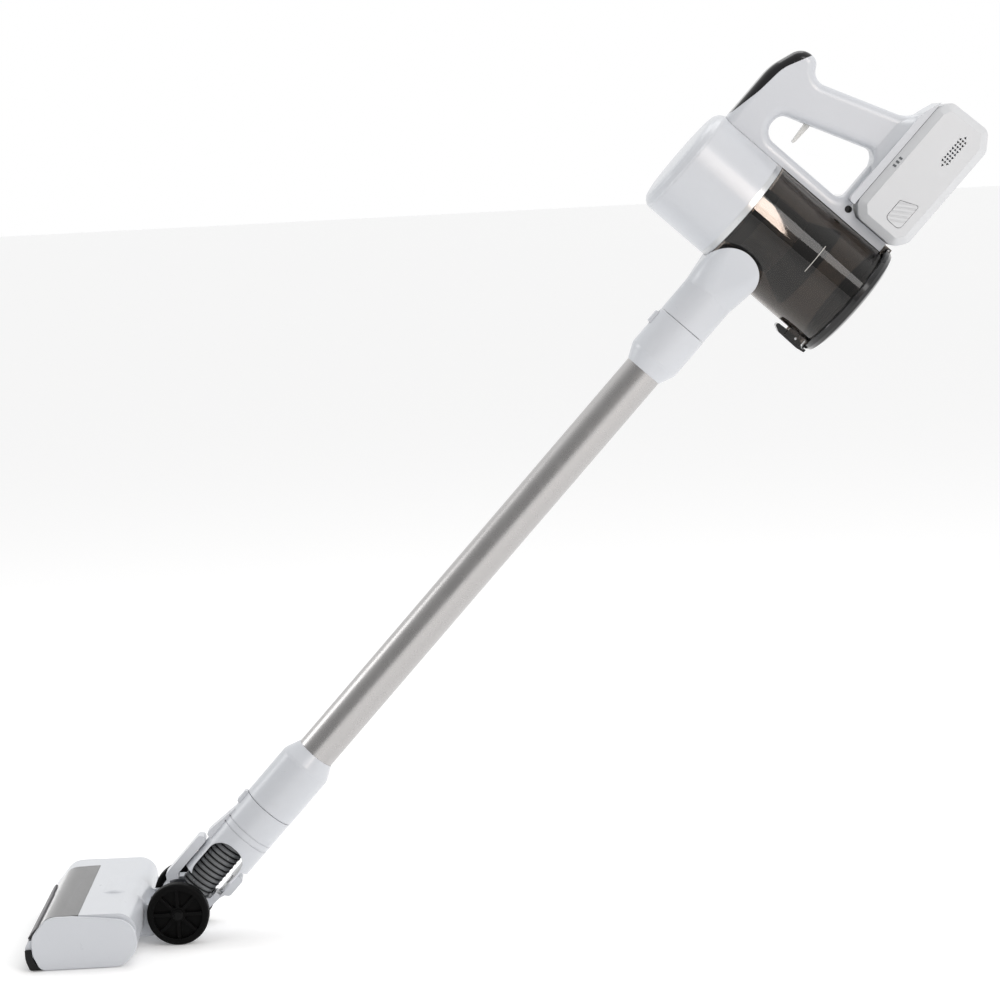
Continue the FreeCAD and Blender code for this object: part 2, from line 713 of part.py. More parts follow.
def upper_coupling():
    """The wand's upper coupling, a socket for the inlet's spigot with a window for its button."""
    body = coupling(DUCT_SEAM_Z - MOVE_GAP, UPPER_SHOULDER_Z, UPPER_TUBE_Z)
    body = body.cut(along_z(UPPER_TUBE_Z - 1, UPPER_TUBE_Z + TUBE_SEAT, TUBE_R + SEAT / 5))
    body = body.cut(along_z(DUCT_SEAM_Z - SPIGOT_LENGTH - 1, DUCT_SEAM_Z + 1, SPIGOT_R + MOVE_GAP))
    body = body.cut(along_z(UPPER_TUBE_Z - 1, DUCT_SEAM_Z, TUBE_R - TUBE_WALL))
    return body.cut(button_window(DUCT_SEAM_Z - 12.0)).removeSplitter()


def lower_coupling():
    """The wand's lower coupling, with the male spigot that enters the neck."""
    body = coupling(NECK_SEAM_Z + MOVE_GAP, LOWER_SHOULDER_Z, LOWER_TUBE_Z)
    body = body.fuse(along_z(NECK_SEAM_Z - SPIGOT_LENGTH, NECK_SEAM_Z + 1, SPIGOT_R))
    body = body.cut(along_z(LOWER_TUBE_Z - TUBE_SEAT, LOWER_TUBE_Z + 1, TUBE_R + SEAT / 5))
    return body.cut(along_z(0, LOWER_TUBE_Z + 1, TUBE_R - TUBE_WALL)).removeSplitter()


def release_button_block(centre_z, inner, grow=0.0):
    """A release button's body on the front of a coupling, from its proud face in to inner."""
    half_y, half_z = BUTTON_HALF
    return box(-COUPLING_R - BUTTON_PROUD - grow, inner, -half_y - grow, half_y + grow,
               centre_z - half_z - grow, centre_z + half_z + grow)


def button_window(centre_z):
    """The window right through a coupling's wall that its release button slides in."""
    return release_button_block(centre_z, -SPIGOT_R + 1.0, BUTTON_FIT)


def release_button(centre_z):
    """A rounded release button proud of the coupling's front."""
    block = release_button_block(centre_z, -SPIGOT_R - MOVE_GAP - BUTTON_TRAVEL)
    front = -COUPLING_R - BUTTON_PROUD

    def front_edges(edge):
        return edge.BoundBox.XMax < front + 0.01
    return softened(block, 1.8, front_edges)


def wand_conduit():
    """The flat wire conduit inside the tube."""
    inner = TUBE_R - TUBE_WALL
    return box(inner - 4.2, inner - 1.0, -2.5, 2.5, LOWER_TUBE_Z - TUBE_SEAT + 2, UPPER_TUBE_Z + TUBE_SEAT - 2)


# ---------------------------------------------------------------- neck


def neck_socket():
    """The neck's upper tube, with an oval window on each side and flats for the swivel arms."""
    body = along_z(NECK_BASE_Z, NECK_SEAM_Z, SOCKET_R)
    body = body.cut(box(REAR_EAR_X, 60, -60, 60, 0, 66.0))
    corners = box(8.0, REAR_EAR_X + 1, -60, 60, 0, ROLL_Z)
    body = body.cut(along_z(0, NECK_SEAM_Z - SPIGOT_LENGTH - 1, SOCKET_R - WALL - 2.2))
    body = body.cut(along_z(80, NECK_SEAM_Z + 1, SPIGOT_R + MOVE_GAP))
    rear_wall = box(REAR_EAR_X - 3.4, REAR_EAR_X, -13, 13, NECK_BASE_Z, 68.0)
    rear_wall = rear_wall.fuse(box(REAR_EAR_X - 3.4, 24.0, -13, 13, 66.0, 69.0))
    body = body.fuse(rear_wall.common(along_z(0, 100, SOCKET_R)))
    body = body.cut(corners.cut(along_x(0, 60, ROLL_Z - NECK_BASE_Z, 0, ROLL_Z)))
    swell = slab([(-24.0, 110.0, 0), (-26.5, 110.0, 0), (-31.5, 78.0, 6), (-31.5, 71.5, 3), (-24.0, 71.5, 0)], 9.0)
    body = body.fuse(swell.cut(along_z(60, 120, SOCKET_R - WALL)))
    oval = rounded_face([(-21.0, 26.0, 18), (17.0, 26.0, 14), (17.0, 82.0, 17), (-21.0, 82.0, 17)], "xz", -60)
    body = body.cut(oval.extrude(V(0, 120, 0)))
    body = body.cut(along_x(-60, 60, SWIVEL_R + RUN_FIT, 0, ROLL_Z))
    body = body.cut(button_window(NECK_SEAM_Z - 7.6))
    for z in (102.0, 95.0):
        groove = along_z(z - 0.5, z + 0.5, SOCKET_R + 1).cut(along_z(z - 1, z + 1, SOCKET_R - 0.5))
        body = body.cut(groove)
    return body.removeSplitter()


def neck_yoke():
    """The yoke: a hollow barrel on the axle line with a front arm and a rear arm up to the swivel pins."""
    x = -AXLE_OFFSET
    barrel = along_y(-BARREL_HALF, BARREL_HALF, BARREL_R, x, 0)
    front = slab([(-36.4, 14.0, 3), (-29.0, 8.0, 2), (-20.0, 8.0, 0), (-20.0, 16.0, 0), (FRONT_EAR_X, 22.0, 4),
                  (FRONT_EAR_X, 66.0, 2), (-31.6, 68.6, 2), (-36.4, 65.6, 3)], 10.0)
    shelf = NECK_BASE_Z - 1.4
    rear = slab([(REAR_EAR_X + MOVE_GAP, 60.0, 1), (27.4, 60.0, 3), (27.4, 38.5, 4), (22.6, 35.4, 3), (20.6, 30.0, 3),
                 (19.0, 10.0, 3), (8.0, 10.0, 0), (8.0, 20.0, 0), (13.8, 24.0, 2), (13.8, shelf, 1),
                 (REAR_EAR_X + MOVE_GAP, shelf, 0)],
                10.0)
    body = barrel.fuse([front, rear])
    body = body.cut(along_y(-BARREL_HALF + 3, BARREL_HALF - 3, BARREL_R - 3, x, 0))
    mouth = along_z(0, 30, HOSE_R + MOVE_GAP, HOSE_X)
    body = body.cut(mouth)
    throat = cylinder(V(x, 0, 0), V(-math.cos(math.radians(LEAN_DEG)), 0, -math.sin(math.radians(LEAN_DEG)) * -1),
                      13.0, 40)
    body = body.cut(throat.common(along_y(-30, 30, 27, x, 0)))
    body = body.cut(along_x(-60, 60, SWIVEL_R, 0, ROLL_Z))
    body = body.cut(along_y(-40, 40, AXLE_R + RUN_FIT, x, 0))
    return body.removeSplitter()


def swivel_pins():
    """The two pins of the side swivel, one in each arm, reaching into the neck's flats."""
    front = along_x(-36.4, FRONT_EAR_X + 4.6, SWIVEL_R, 0, ROLL_Z)
    rear = along_x(REAR_EAR_X - 3.0, 27.4, SWIVEL_R, 0, ROLL_Z)
    return Part.makeCompound([front, rear])


def neck_hose():
    """The ribbed hose that carries the air past the swivel."""
    low = 22.0
    high = NECK_SEAM_Z - SPIGOT_LENGTH - 2
    ribs = int((high - low) / HOSE_PITCH)
    profile = [(low, HOSE_R - 1.2)]
    for i in range(ribs):
        z = low + HOSE_PITCH * (i + 0.5)
        profile += [(z - 1.6, HOSE_R - 1.2), (z - 0.6, HOSE_R), (z + 0.6, HOSE_R), (z + 1.6, HOSE_R - 1.2)]
    profile += [(high, HOSE_R - 1.2), (high, HOSE_R - 2.2), (low, HOSE_R - 2.2)]
    return turned(profile, "z", V(HOSE_X, 0, 0))


# ---------------------------------------------------------------- head

END_OUTLINE = [
    (-108.0, SOLE_Z, 0), (-49.0, SOLE_Z, 18), (HEAD_REAR_X + 1.0, 17.0, 20), (HEAD_REAR_X - 1.0, 46.0, 20),
    (-72.0, 50.6, 30), (-96.0, HEAD_TOP + 0.3, 0), (-121.0, HEAD_TOP, 20), (HEAD_FRONT_X, 34.0, 14),
    (HEAD_FRONT_X, 17.0, 16), (-129.5, SOLE_Z, 8),
]
NOSE_OUTLINE = [
    (-128.5, SOLE_Z, 0), (-60.0, SOLE_Z, 0), (-37.0, 14.0, 8), (-32.0, 52.6, 18),
    (-96.0, HEAD_TOP + 0.6, 0), (-121.0, HEAD_TOP, 18), (-139.4, 31.0, 3), (NOSE_X, 23.5, 2),
    (NOSE_X, 21.3, 0), (-137.5, 21.3, 0), (-137.0, 14.0, 8),
]


def head_solid(half, shrink=0.0):
    """The head's cross-section carried across its width, or its hollow when shrunk."""
    face = rounded_face(NOSE_OUTLINE, "xz", -half)
    if shrink > 0:
        face = face.makeOffset2D(-shrink)
    return face.extrude(V(0, 2 * half, 0))


def window_zone(grow=0.0):
    """The region of the head's top front that the clear window fills."""
    zone = slab([(-150.0, 30.5, 0), (-134.0, 30.5 - grow, 0), (-120.0, 42.0, 0), (-90.0 + grow, 44.0, 0),
                 (-90.0 + grow, 60.0, 0), (-150.0, 60.0, 0)], HEAD_HALF - END_CAP_T)
    return zone.common(box(-160.0, -80.0, -HEAD_HALF, WINDOW_END_Y + grow, 0.0, 70.0))


def head_band():
    """The thin wall of the head all round, between its end caps."""
    half = HEAD_HALF - END_CAP_T - SEAT
    return head_solid(half).cut(head_solid(half + 1, HEAD_WALL))


def rear_boss(shrink=0.0):
    """The raised hump that carries the neck's cradle."""
    half = 36.0 - shrink
    corners = [(-84.0, 40.0, 0), (-84.0, 51.0 - shrink, 0), (-62.0, 56.0 - shrink, 24), (-38.0, 48.0 - shrink, 14),
               (-27.5, 34.0 - shrink, 6), (-24.0 - shrink, 20.0, 0), (-24.0 - shrink, 6.0 + shrink, 6),
               (-50.0, 6.0 + shrink, 0), (-50.0, 30.0, 0)]
    return slab(corners, half)


def head_shell():
    """The head's white cover with its hump, cradle, side cheeks and brush chamber wall."""
    half = HEAD_HALF - END_CAP_T - SEAT
    hollow = head_solid(half + 1, HEAD_WALL)
    body = head_solid(half).fuse(softened(rear_boss(), 5.0, flat_side(36.0)))
    body = body.cut(hollow).cut(rear_boss(HEAD_WALL).common(box(-84, -31, -60, 60, 0, 80)))
    cradle = along_y(-36.0, 36.0, BARREL_R + CRADLE_WALL + MOVE_GAP, 0, AXLE_Z)
    cradle = cradle.common(slab([(-40, CRADLE_TOP_Z, 0), (-40, -2, 0), (6, -2, 0), (6, 14, 0),
                                 (-12, CRADLE_TOP_Z, 0)], 40))
    body = body.fuse(cradle)
    body = body.cut(along_y(-BARREL_HALF - MOVE_GAP, BARREL_HALF + MOVE_GAP, BARREL_R + MOVE_GAP, 0, AXLE_Z))
    cheek_low = BARREL_HALF + MOVE_GAP
    for y0, y1 in ((-36.0, -cheek_low), (cheek_low, 36.0)):
        cheek = along_y(y0, y1, 12.0, 0, AXLE_Z).fuse(box(-32, 0, y0, y1, AXLE_Z - 12, AXLE_Z + 8))
        body = body.fuse(cheek)
    body = body.cut(along_y(-60, 60, AXLE_R, 0, AXLE_Z))
    body = body.cut(along_x(-60, -10, THROAT_R, 0, BRUSH_Z))
    walls = head_solid(half).cut(head_solid(half - HEAD_WALL))
    body = body.fuse(walls)
    body = body.cut(window_zone(SEAT)).cut(box(-200, 0, -200, 200, -5, SOLE_TOP + SEAT))
    chamber_wall = box(-76.0, -74.0, -half, half, SOLE_TOP + SEAT, 50.0).common(hollow)
    chamber_wall = chamber_wall.cut(box(-80, -70, PULLEY_Y - 4.5, PULLEY_Y + 4.5, 6, 46))
    body = body.fuse(chamber_wall.cut(along_x(-80, -70, THROAT_R, 0, BRUSH_Z)))
    return body.removeSplitter()


def sole_plate():
    """The head's underside, open under the brush, with two skids that rest on the floor."""
    half = HEAD_HALF - END_CAP_T - SEAT
    plate = head_solid(half).common(box(-136.5, -40.0, -half, half, SOLE_Z, SOLE_TOP))
    plate = plate.cut(box(MOUTH_FRONT_X, MOUTH_REAR_X, -MOUTH_HALF, MOUTH_HALF, -1, 10))
    skids = [box(-126.5, -122.5, y - 10, y + 10, 0.0, SOLE_TOP - 1) for y in (-80.0, 80.0)]
    return plate.fuse(skids).removeSplitter()


def head_window():
    """The dark clear window over the brush."""
    half = HEAD_HALF - END_CAP_T - SEAT
    band = head_solid(half).cut(head_solid(half + 1, HEAD_WALL))
    return band.common(window_zone())


def end_cap(side):
    """One end cap of the head."""
    y = side * HEAD_HALF
    face = rounded_face(END_OUTLINE, "xz", y)
    cap = face.extrude(V(0, -side * END_CAP_T, 0))

    def outer_edges(edge):
        bounds = edge.BoundBox
        return bounds.YLength < 1e-6 and abs(bounds.YMin - y) < 1e-6
    return softened(cap, 1.2, outer_edges)


def bumper():
    """The black bumper strip along the head's front edge."""
    strip = slab([(NOSE_X, 21.0, 0), (NOSE_X, 12.0, 20), (-139.5, 1.2, 3), (-126.5, 1.2, 0), (-133.0, 6.0, 12),
                  (-137.3, 14.0, 8), (-137.6, 21.0, 0)], HEAD_HALF - 1.0)
    cut = slab([(-136.4, 40, 0), (-100, 40, 0), (-100, 0, 0), (-126.5, 0.0, 0), (-136.4, 13.0, 12)], HEAD_HALF)
    return strip.cut(cut).cut(head_shell()).cut(sole_plate()).cut(end_cap(-1)).cut(end_cap(1))


def brush_core():
    """The brush roll's core with its pulley end and journals."""
    half = MOUTH_HALF - 4.0
    core = along_y(-half, half, BRUSH_CORE_R, BRUSH_X, BRUSH_Z)
    journals = along_y(-half - 8.0, half + 8.0, 4.0, BRUSH_X, BRUSH_Z)
    return core.fuse(journals).removeSplitter()


def brush_bristles():
    """Two helical rows of bristles, built as short turned wedges along the core."""
    half = BRISTLE_HALF
    steps = 18
    length = 2 * half / steps
    blocks = []
    for i in range(steps):
        y0 = -half + i * length
        for start in (0.0, 180.0):
            turn = start + abs(i - (steps - 1) / 2) * 22.0
            block = box(-1.6, 1.6, y0, y0 + length, BRUSH_CORE_R - 1.0, BRISTLE_R)
            block.rotate(V(0, 0, 0), V(0, 1, 0), turn)
            block.translate(V(BRUSH_X, 0, BRUSH_Z))
            blocks.append(block.cut(along_y(-150, 150, BRUSH_CORE_R, BRUSH_X, BRUSH_Z)))
    return Part.makeCompound(blocks)


def brush_bearings():
    """The two bearings that hold the roll's journals."""
    bearings = []
    half = MOUTH_HALF - 4.0
    wall_y = HEAD_HALF - END_CAP_T - SEAT - HEAD_WALL
    for y0, y1 in ((-wall_y, -half - 2.5), (half + 2.5, wall_y)):
        outer = along_y(y0, y1, 8.0, BRUSH_X, BRUSH_Z)
        bearings.append(outer.cut(along_y(y0 - 1, y1 + 1, 4.0 + RUN_FIT, BRUSH_X, BRUSH_Z)))
    return Part.makeCompound(bearings)


def brush_motor():
    """The brush motor behind the chamber wall, with its mounting block."""
    body = along_y(30.0, 96.0, 13.5, BRUSH_MOTOR_X, BRUSH_MOTOR_Z)
    bush = along_y(96.0, 98.0, 6.0, BRUSH_MOTOR_X, BRUSH_MOTOR_Z)
    return body.fuse(bush).cut(along_y(80.0, 99.0, 2.0 + RUN_FIT, BRUSH_MOTOR_X, BRUSH_MOTOR_Z)).removeSplitter()


def motor_pulley():
    """The brush motor's pulley and shaft."""
    shaft = along_y(82.0, PULLEY_Y + 5, 2.0, BRUSH_MOTOR_X, BRUSH_MOTOR_Z)
    wheel = along_y(PULLEY_Y - 4, PULLEY_Y + 4, MOTOR_PULLEY_R, BRUSH_MOTOR_X, BRUSH_MOTOR_Z)
    return shaft.fuse(wheel).removeSplitter()


def belt_loop(grow, y0, y1):
    """A block around the motor pulley and the roll, grown from both."""
    small = along_y(y0, y1, MOTOR_PULLEY_R + grow, BRUSH_MOTOR_X, BRUSH_MOTOR_Z)
    large = along_y(y0, y1, BRUSH_PULLEY_R + grow, BRUSH_X, BRUSH_Z)
    dx = BRUSH_MOTOR_X - BRUSH_X
    tilt = math.asin((BRUSH_PULLEY_R - MOTOR_PULLEY_R) / dx)
    nx, nz = math.sin(tilt), math.cos(tilt)
    big, little = BRUSH_PULLEY_R + grow, MOTOR_PULLEY_R + grow
    corners = [
        (BRUSH_X + nx * big, BRUSH_Z + nz * big, 0), (BRUSH_MOTOR_X + nx * little, BRUSH_MOTOR_Z + nz * little, 0),
        (BRUSH_MOTOR_X + nx * little, BRUSH_MOTOR_Z - nz * little, 0), (BRUSH_X + nx * big, BRUSH_Z - nz * big, 0),
    ]
    web = rounded_face(corners, "xz", y0).extrude(V(0, y1 - y0, 0))
    return small.fuse([large, web])


def drive_belt():
    """The flat belt from the motor pulley to the roll."""
    outer = belt_loop(MOVE_GAP + 1.2, PULLEY_Y - 3, PULLEY_Y + 3)
    return outer.cut(belt_loop(MOVE_GAP, PULLEY_Y - 5, PULLEY_Y + 5)).removeSplitter()


def wheel_axles():
    """Two stub axles, one on each side of the cradle."""
    axles = []
    for side in (-1, 1):
        y0, y1 = sorted((side * 26.0, side * (WHEEL_OUT_Y - 1.0)))
        axles.append(along_y(y0, y1, AXLE_R, 0, AXLE_Z))
    return Part.makeCompound(axles)


def wheel(side):
    """A rear wheel: rim, eight spokes and a hub, bored for its stub axle."""
    width = WHEEL_OUT_Y - WHEEL_IN_Y
    rim_in = 24.5
    profile = [(0, rim_in), (0, WHEEL_R - 2.0), (1.4, WHEEL_R - 0.5), (3.0, WHEEL_R), (width - 3.0, WHEEL_R),
               (width - 1.4, WHEEL_R - 0.5), (width, WHEEL_R - 2.0), (width, rim_in)]
    rim = turned([(WHEEL_IN_Y + a, r) for a, r in profile], "y", V(0, 0, AXLE_Z))
    disc = along_y(WHEEL_IN_Y + 4, WHEEL_OUT_Y - 6, rim_in + 0.5, 0, AXLE_Z)
    hub = along_y(WHEEL_IN_Y + 1, WHEEL_OUT_Y - 1.4, 7.5, 0, AXLE_Z)
    spokes = []
    for i in range(8):
        spoke = box(-1.6, 1.6, WHEEL_IN_Y + 4, WHEEL_OUT_Y - 2.0, 6, rim_in + 0.5)
        spoke.rotate(V(0, 0, 0), V(0, 1, 0), 45.0 * i)
        spoke.translate(V(0, 0, AXLE_Z))
        spokes.append(spoke)
    body = rim.fuse([disc, hub] + spokes)
    body = body.cut(along_y(WHEEL_IN_Y - 1, WHEEL_OUT_Y + 1, AXLE_R + RUN_FIT, 0, AXLE_Z))
    if side < 0:
        body = body.mirror(V(0, 0, 0), V(0, 1, 0))
    return body.removeSplitter()


def wheel_cap(side):
    """The small pin cap that keeps a wheel on its axle."""
    cap = turned([(WHEEL_OUT_Y - 0.9, 0), (WHEEL_OUT_Y - 0.9, 6.0), (WHEEL_OUT_Y + 0.2, 5.6), (WHEEL_OUT_Y + 1.0, 3.0),
                  (WHEEL_OUT_Y + 1.2, 0)], "y", V(0, 0, AXLE_Z))
    return cap if side > 0 else cap.mirror(V(0, 0, 0), V(0, 1, 0))


# ---------------------------------------------------------------- assembly

def wand_pieces():
    """Every piece drawn in the wand frame, by node name."""
    return {
        "motor_housing": motor_housing(), "front_cap": front_cap(), "trim_ring": trim_ring(),
        "handle_left": handle_half(-1), "handle_right": handle_half(1), "handle_panel": handle_panel(),
        "inlet_duct": inlet_duct(), "motor_can": motor_can(), "motor_mount": motor_mount(),
        "exhaust_filter": exhaust_filter(), "impeller": impeller(), "trigger": trigger(),
        "trigger_pin": trigger_pin(), "trigger_switch": trigger_switch(), "circuit_board": circuit_board(),
        "charging_jack": charging_jack(), "battery_contacts": battery_contacts(), "handle_screws": handle_screws(),
        "battery_case": battery_case(), "battery_cells": battery_cells(), "battery_board": battery_board(),
        "charge_lights": charge_lights(), "battery_button_left": battery_button(-1),
        "battery_button_right": battery_button(1), "bin_shell": bin_shell(), "cyclone_core": cyclone_core(),
        "mesh_screen": mesh_screen(), "pleated_filter": pleated_filter(), "latch_pin": latch_pin(), "lid_pin": lid_pin(),
        "lid_latch": lid_latch(), "bin_lid": bin_lid(), "lid_seal": lid_seal(), "wand_tube": wand_tube(),
        "upper_coupling": upper_coupling(), "lower_coupling": lower_coupling(), "wand_conduit": wand_conduit(),
        "upper_button": release_button(DUCT_SEAM_Z - 12.0), "lower_button": release_button(NECK_SEAM_Z - 7.6),
        "neck_socket": neck_socket(), "neck_yoke": neck_yoke(), "swivel_pins": swivel_pins(),
        "neck_hose": neck_hose(),
    }


def head_pieces():
    """Every piece drawn in the head frame, by node name."""
    return {
        "head_shell": head_shell(), "head_window": head_window(), "sole_plate": sole_plate(), "bumper": bumper(),
        "end_cap_left": end_cap(-1), "end_cap_right": end_cap(1), "brush_core": brush_core(),
        "brush_bristles": brush_bristles(), "brush_bearings": brush_bearings(), "brush_motor": brush_motor(),
        "motor_pulley": motor_pulley(), "drive_belt": drive_belt(), "wheel_axles": wheel_axles(),
        "wheel_left": wheel(-1), "wheel_right": wheel(1), "wheel_cap_left": wheel_cap(-1),
        "wheel_cap_right": wheel_cap(1),
    }


def lean(shape):
    """Carry a wand-frame shape to its working lean about the wheel axle."""
    moved = shape.copy()
    moved.translate(V(AXLE_OFFSET, 0, 0))
    moved.rotate(V(0, 0, 0), V(0, 1, 0), LEAN_DEG)
    moved.translate(V(0, 0, AXLE_Z))
    return moved


def centring_shift(shapes):
    """The shift along X that puts the whole object's middle over the origin."""
    bounds = [shape.optimalBoundingBox(True, False) for shape in shapes]
    low = min(b.XMin for b in bounds)
    high = max(b.XMax for b in bounds)
    return -(low + high) / 2


def build():
    """All pieces in the world frame, by node name, and the shift that was applied along X."""
    placed = {name: lean(shape) for name, shape in wand_pieces().items()}
    placed.update(head_pieces())
    shift = centring_shift(placed.values())
    for name in placed:
        placed[name] = placed[name].copy()
        placed[name].translate(V(shift, 0, 0))
    return placed, shift


def main():
    """Write one STEP file for each piece."""
    os.makedirs("parts", exist_ok=True)
    placed, shift = build()
    for name, shape in placed.items():
        shape.exportStep(os.path.join("parts", name + ".step"))
    print("pieces", len(placed), "shift", round(shift, 4))


if __name__ == "__main__":
    main()
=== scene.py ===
"""Cordless stick vacuum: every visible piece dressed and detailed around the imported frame.

Lengths are metres in the frame's own axes: +Z up, the floor at Z = 0, the nose of the floor head
toward -X. Sizes of the leaning pieces are given along the wand and moved into place by WandFrame.
"""
import logging
import math
import random
from dataclasses import dataclass
from enum import Enum

import bpy
from mathutils import Matrix, Vector


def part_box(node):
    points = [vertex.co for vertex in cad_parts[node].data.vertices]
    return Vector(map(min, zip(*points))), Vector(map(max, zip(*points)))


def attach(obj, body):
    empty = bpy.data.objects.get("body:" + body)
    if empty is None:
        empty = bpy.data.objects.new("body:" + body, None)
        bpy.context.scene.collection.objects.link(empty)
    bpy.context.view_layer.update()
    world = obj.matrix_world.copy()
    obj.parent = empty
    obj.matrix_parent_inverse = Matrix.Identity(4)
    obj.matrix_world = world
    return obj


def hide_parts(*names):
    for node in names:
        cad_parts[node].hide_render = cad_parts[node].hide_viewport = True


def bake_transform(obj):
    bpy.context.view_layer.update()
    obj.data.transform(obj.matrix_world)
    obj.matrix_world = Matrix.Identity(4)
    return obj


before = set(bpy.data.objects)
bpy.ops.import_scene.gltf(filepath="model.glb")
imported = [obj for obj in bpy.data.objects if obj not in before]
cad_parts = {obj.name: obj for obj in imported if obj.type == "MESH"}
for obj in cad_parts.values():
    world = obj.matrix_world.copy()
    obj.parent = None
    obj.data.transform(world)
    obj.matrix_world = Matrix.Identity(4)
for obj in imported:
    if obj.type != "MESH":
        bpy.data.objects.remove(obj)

log = logging.getLogger("stick_vacuum")

Colour = tuple[float, float, float]
LEAN = math.radians(43.33)
MM = 0.001

HAIRLINE_TIMES = 11.0
HAIRLINE_SHARE = 0.35
MARKS_MIDDLE = 0.67
EDGE_GAIN = 9.0
WEAR_SCALE = 320.0
GRAIN_WIDE_SHARE = 0.4
DRAWN_STRETCH = 0.012
CLOUD_SCALE = 900.0
CLOUD_SHARE = 0.4
PLEAT_STRETCH = 0.02
FIBRE_SCALE = 2600.0
FIBRE_SHARE = 0.15
WIRE_THRESHOLD = 0.62


# ---------------------------------------------------------------- shared effects


class Effect(Enum):
    """The shader node groups that the finishes share."""

    TONE = "tone_drift"
    MARKS = "handling_marks"
    EDGE = "edge_wear"
    GRAIN = "mould_grain"
    DRAWN = "drawn_lines"
    PLEATS = "paper_pleats"
    WEAVE = "wire_weave"


class EffectGroup:
    """One shader node group under construction, with named inputs and outputs."""

    def __init__(self, effect: Effect) -> None:
        """Start an empty group.

        Args:
            effect: Which shared effect the group is.
        """
        self.tree = bpy.data.node_groups.new(effect.value, "ShaderNodeTree")
        self.entry = self.tree.nodes.new("NodeGroupInput")
        self.exit = self.tree.nodes.new("NodeGroupOutput")

    def takes(self, name: str, kind: str, default: object = None) -> bpy.types.NodeSocket:
        """Add a named input.

        Args:
            name: The input's name.
            kind: Float, Color or Vector.
            default: The value used when nothing is linked.

        Returns:
            The socket inside the group that gives the input's value.
        """
        kind = "NodeSocket" + kind
        socket = self.tree.interface.new_socket(name, in_out="INPUT", socket_type=kind)
        if default is not None:
            socket.default_value = default
        return self.entry.outputs[name]

    def gives(self, name: str, kind: str, source: bpy.types.NodeSocket) -> None:
        """Add a named output and feed it.

        Args:
            name: The output's name.
            kind: Float, Color or Vector.
            source: The socket that feeds it.
        """
        kind = "NodeSocket" + kind
        self.tree.interface.new_socket(name, in_out="OUTPUT", socket_type=kind)
        self.tree.links.new(source, self.exit.inputs[name])

    def node(self, kind: str, links: dict[object, object] | None = None,
             **settings: object) -> bpy.types.Node:
        """Add a node, set it up and link its inputs.

        Args:
            kind: The node's type without the ShaderNode prefix.
            links: For each input, by name or index, a socket to link or a plain value.
            settings: Properties of the node.

        Returns:
            The node.
        """
        made = self.tree.nodes.new("ShaderNode" + kind)
        for key, value in settings.items():
            setattr(made, key, value)
        for key, value in (links or {}).items():
            if isinstance(value, bpy.types.NodeSocket):
                self.tree.links.new(value, made.inputs[key])
            else:
                made.inputs[key].default_value = value
        return made

    def maths(self, operation: str, *values: object) -> bpy.types.NodeSocket:
        """Add a math node.

        Args:
            operation: The operation's name.
            values: Sockets or plain numbers, in order.

        Returns:
            The result's socket.
        """
        return self.node("Math", dict(enumerate(values)), operation=operation).outputs[0]


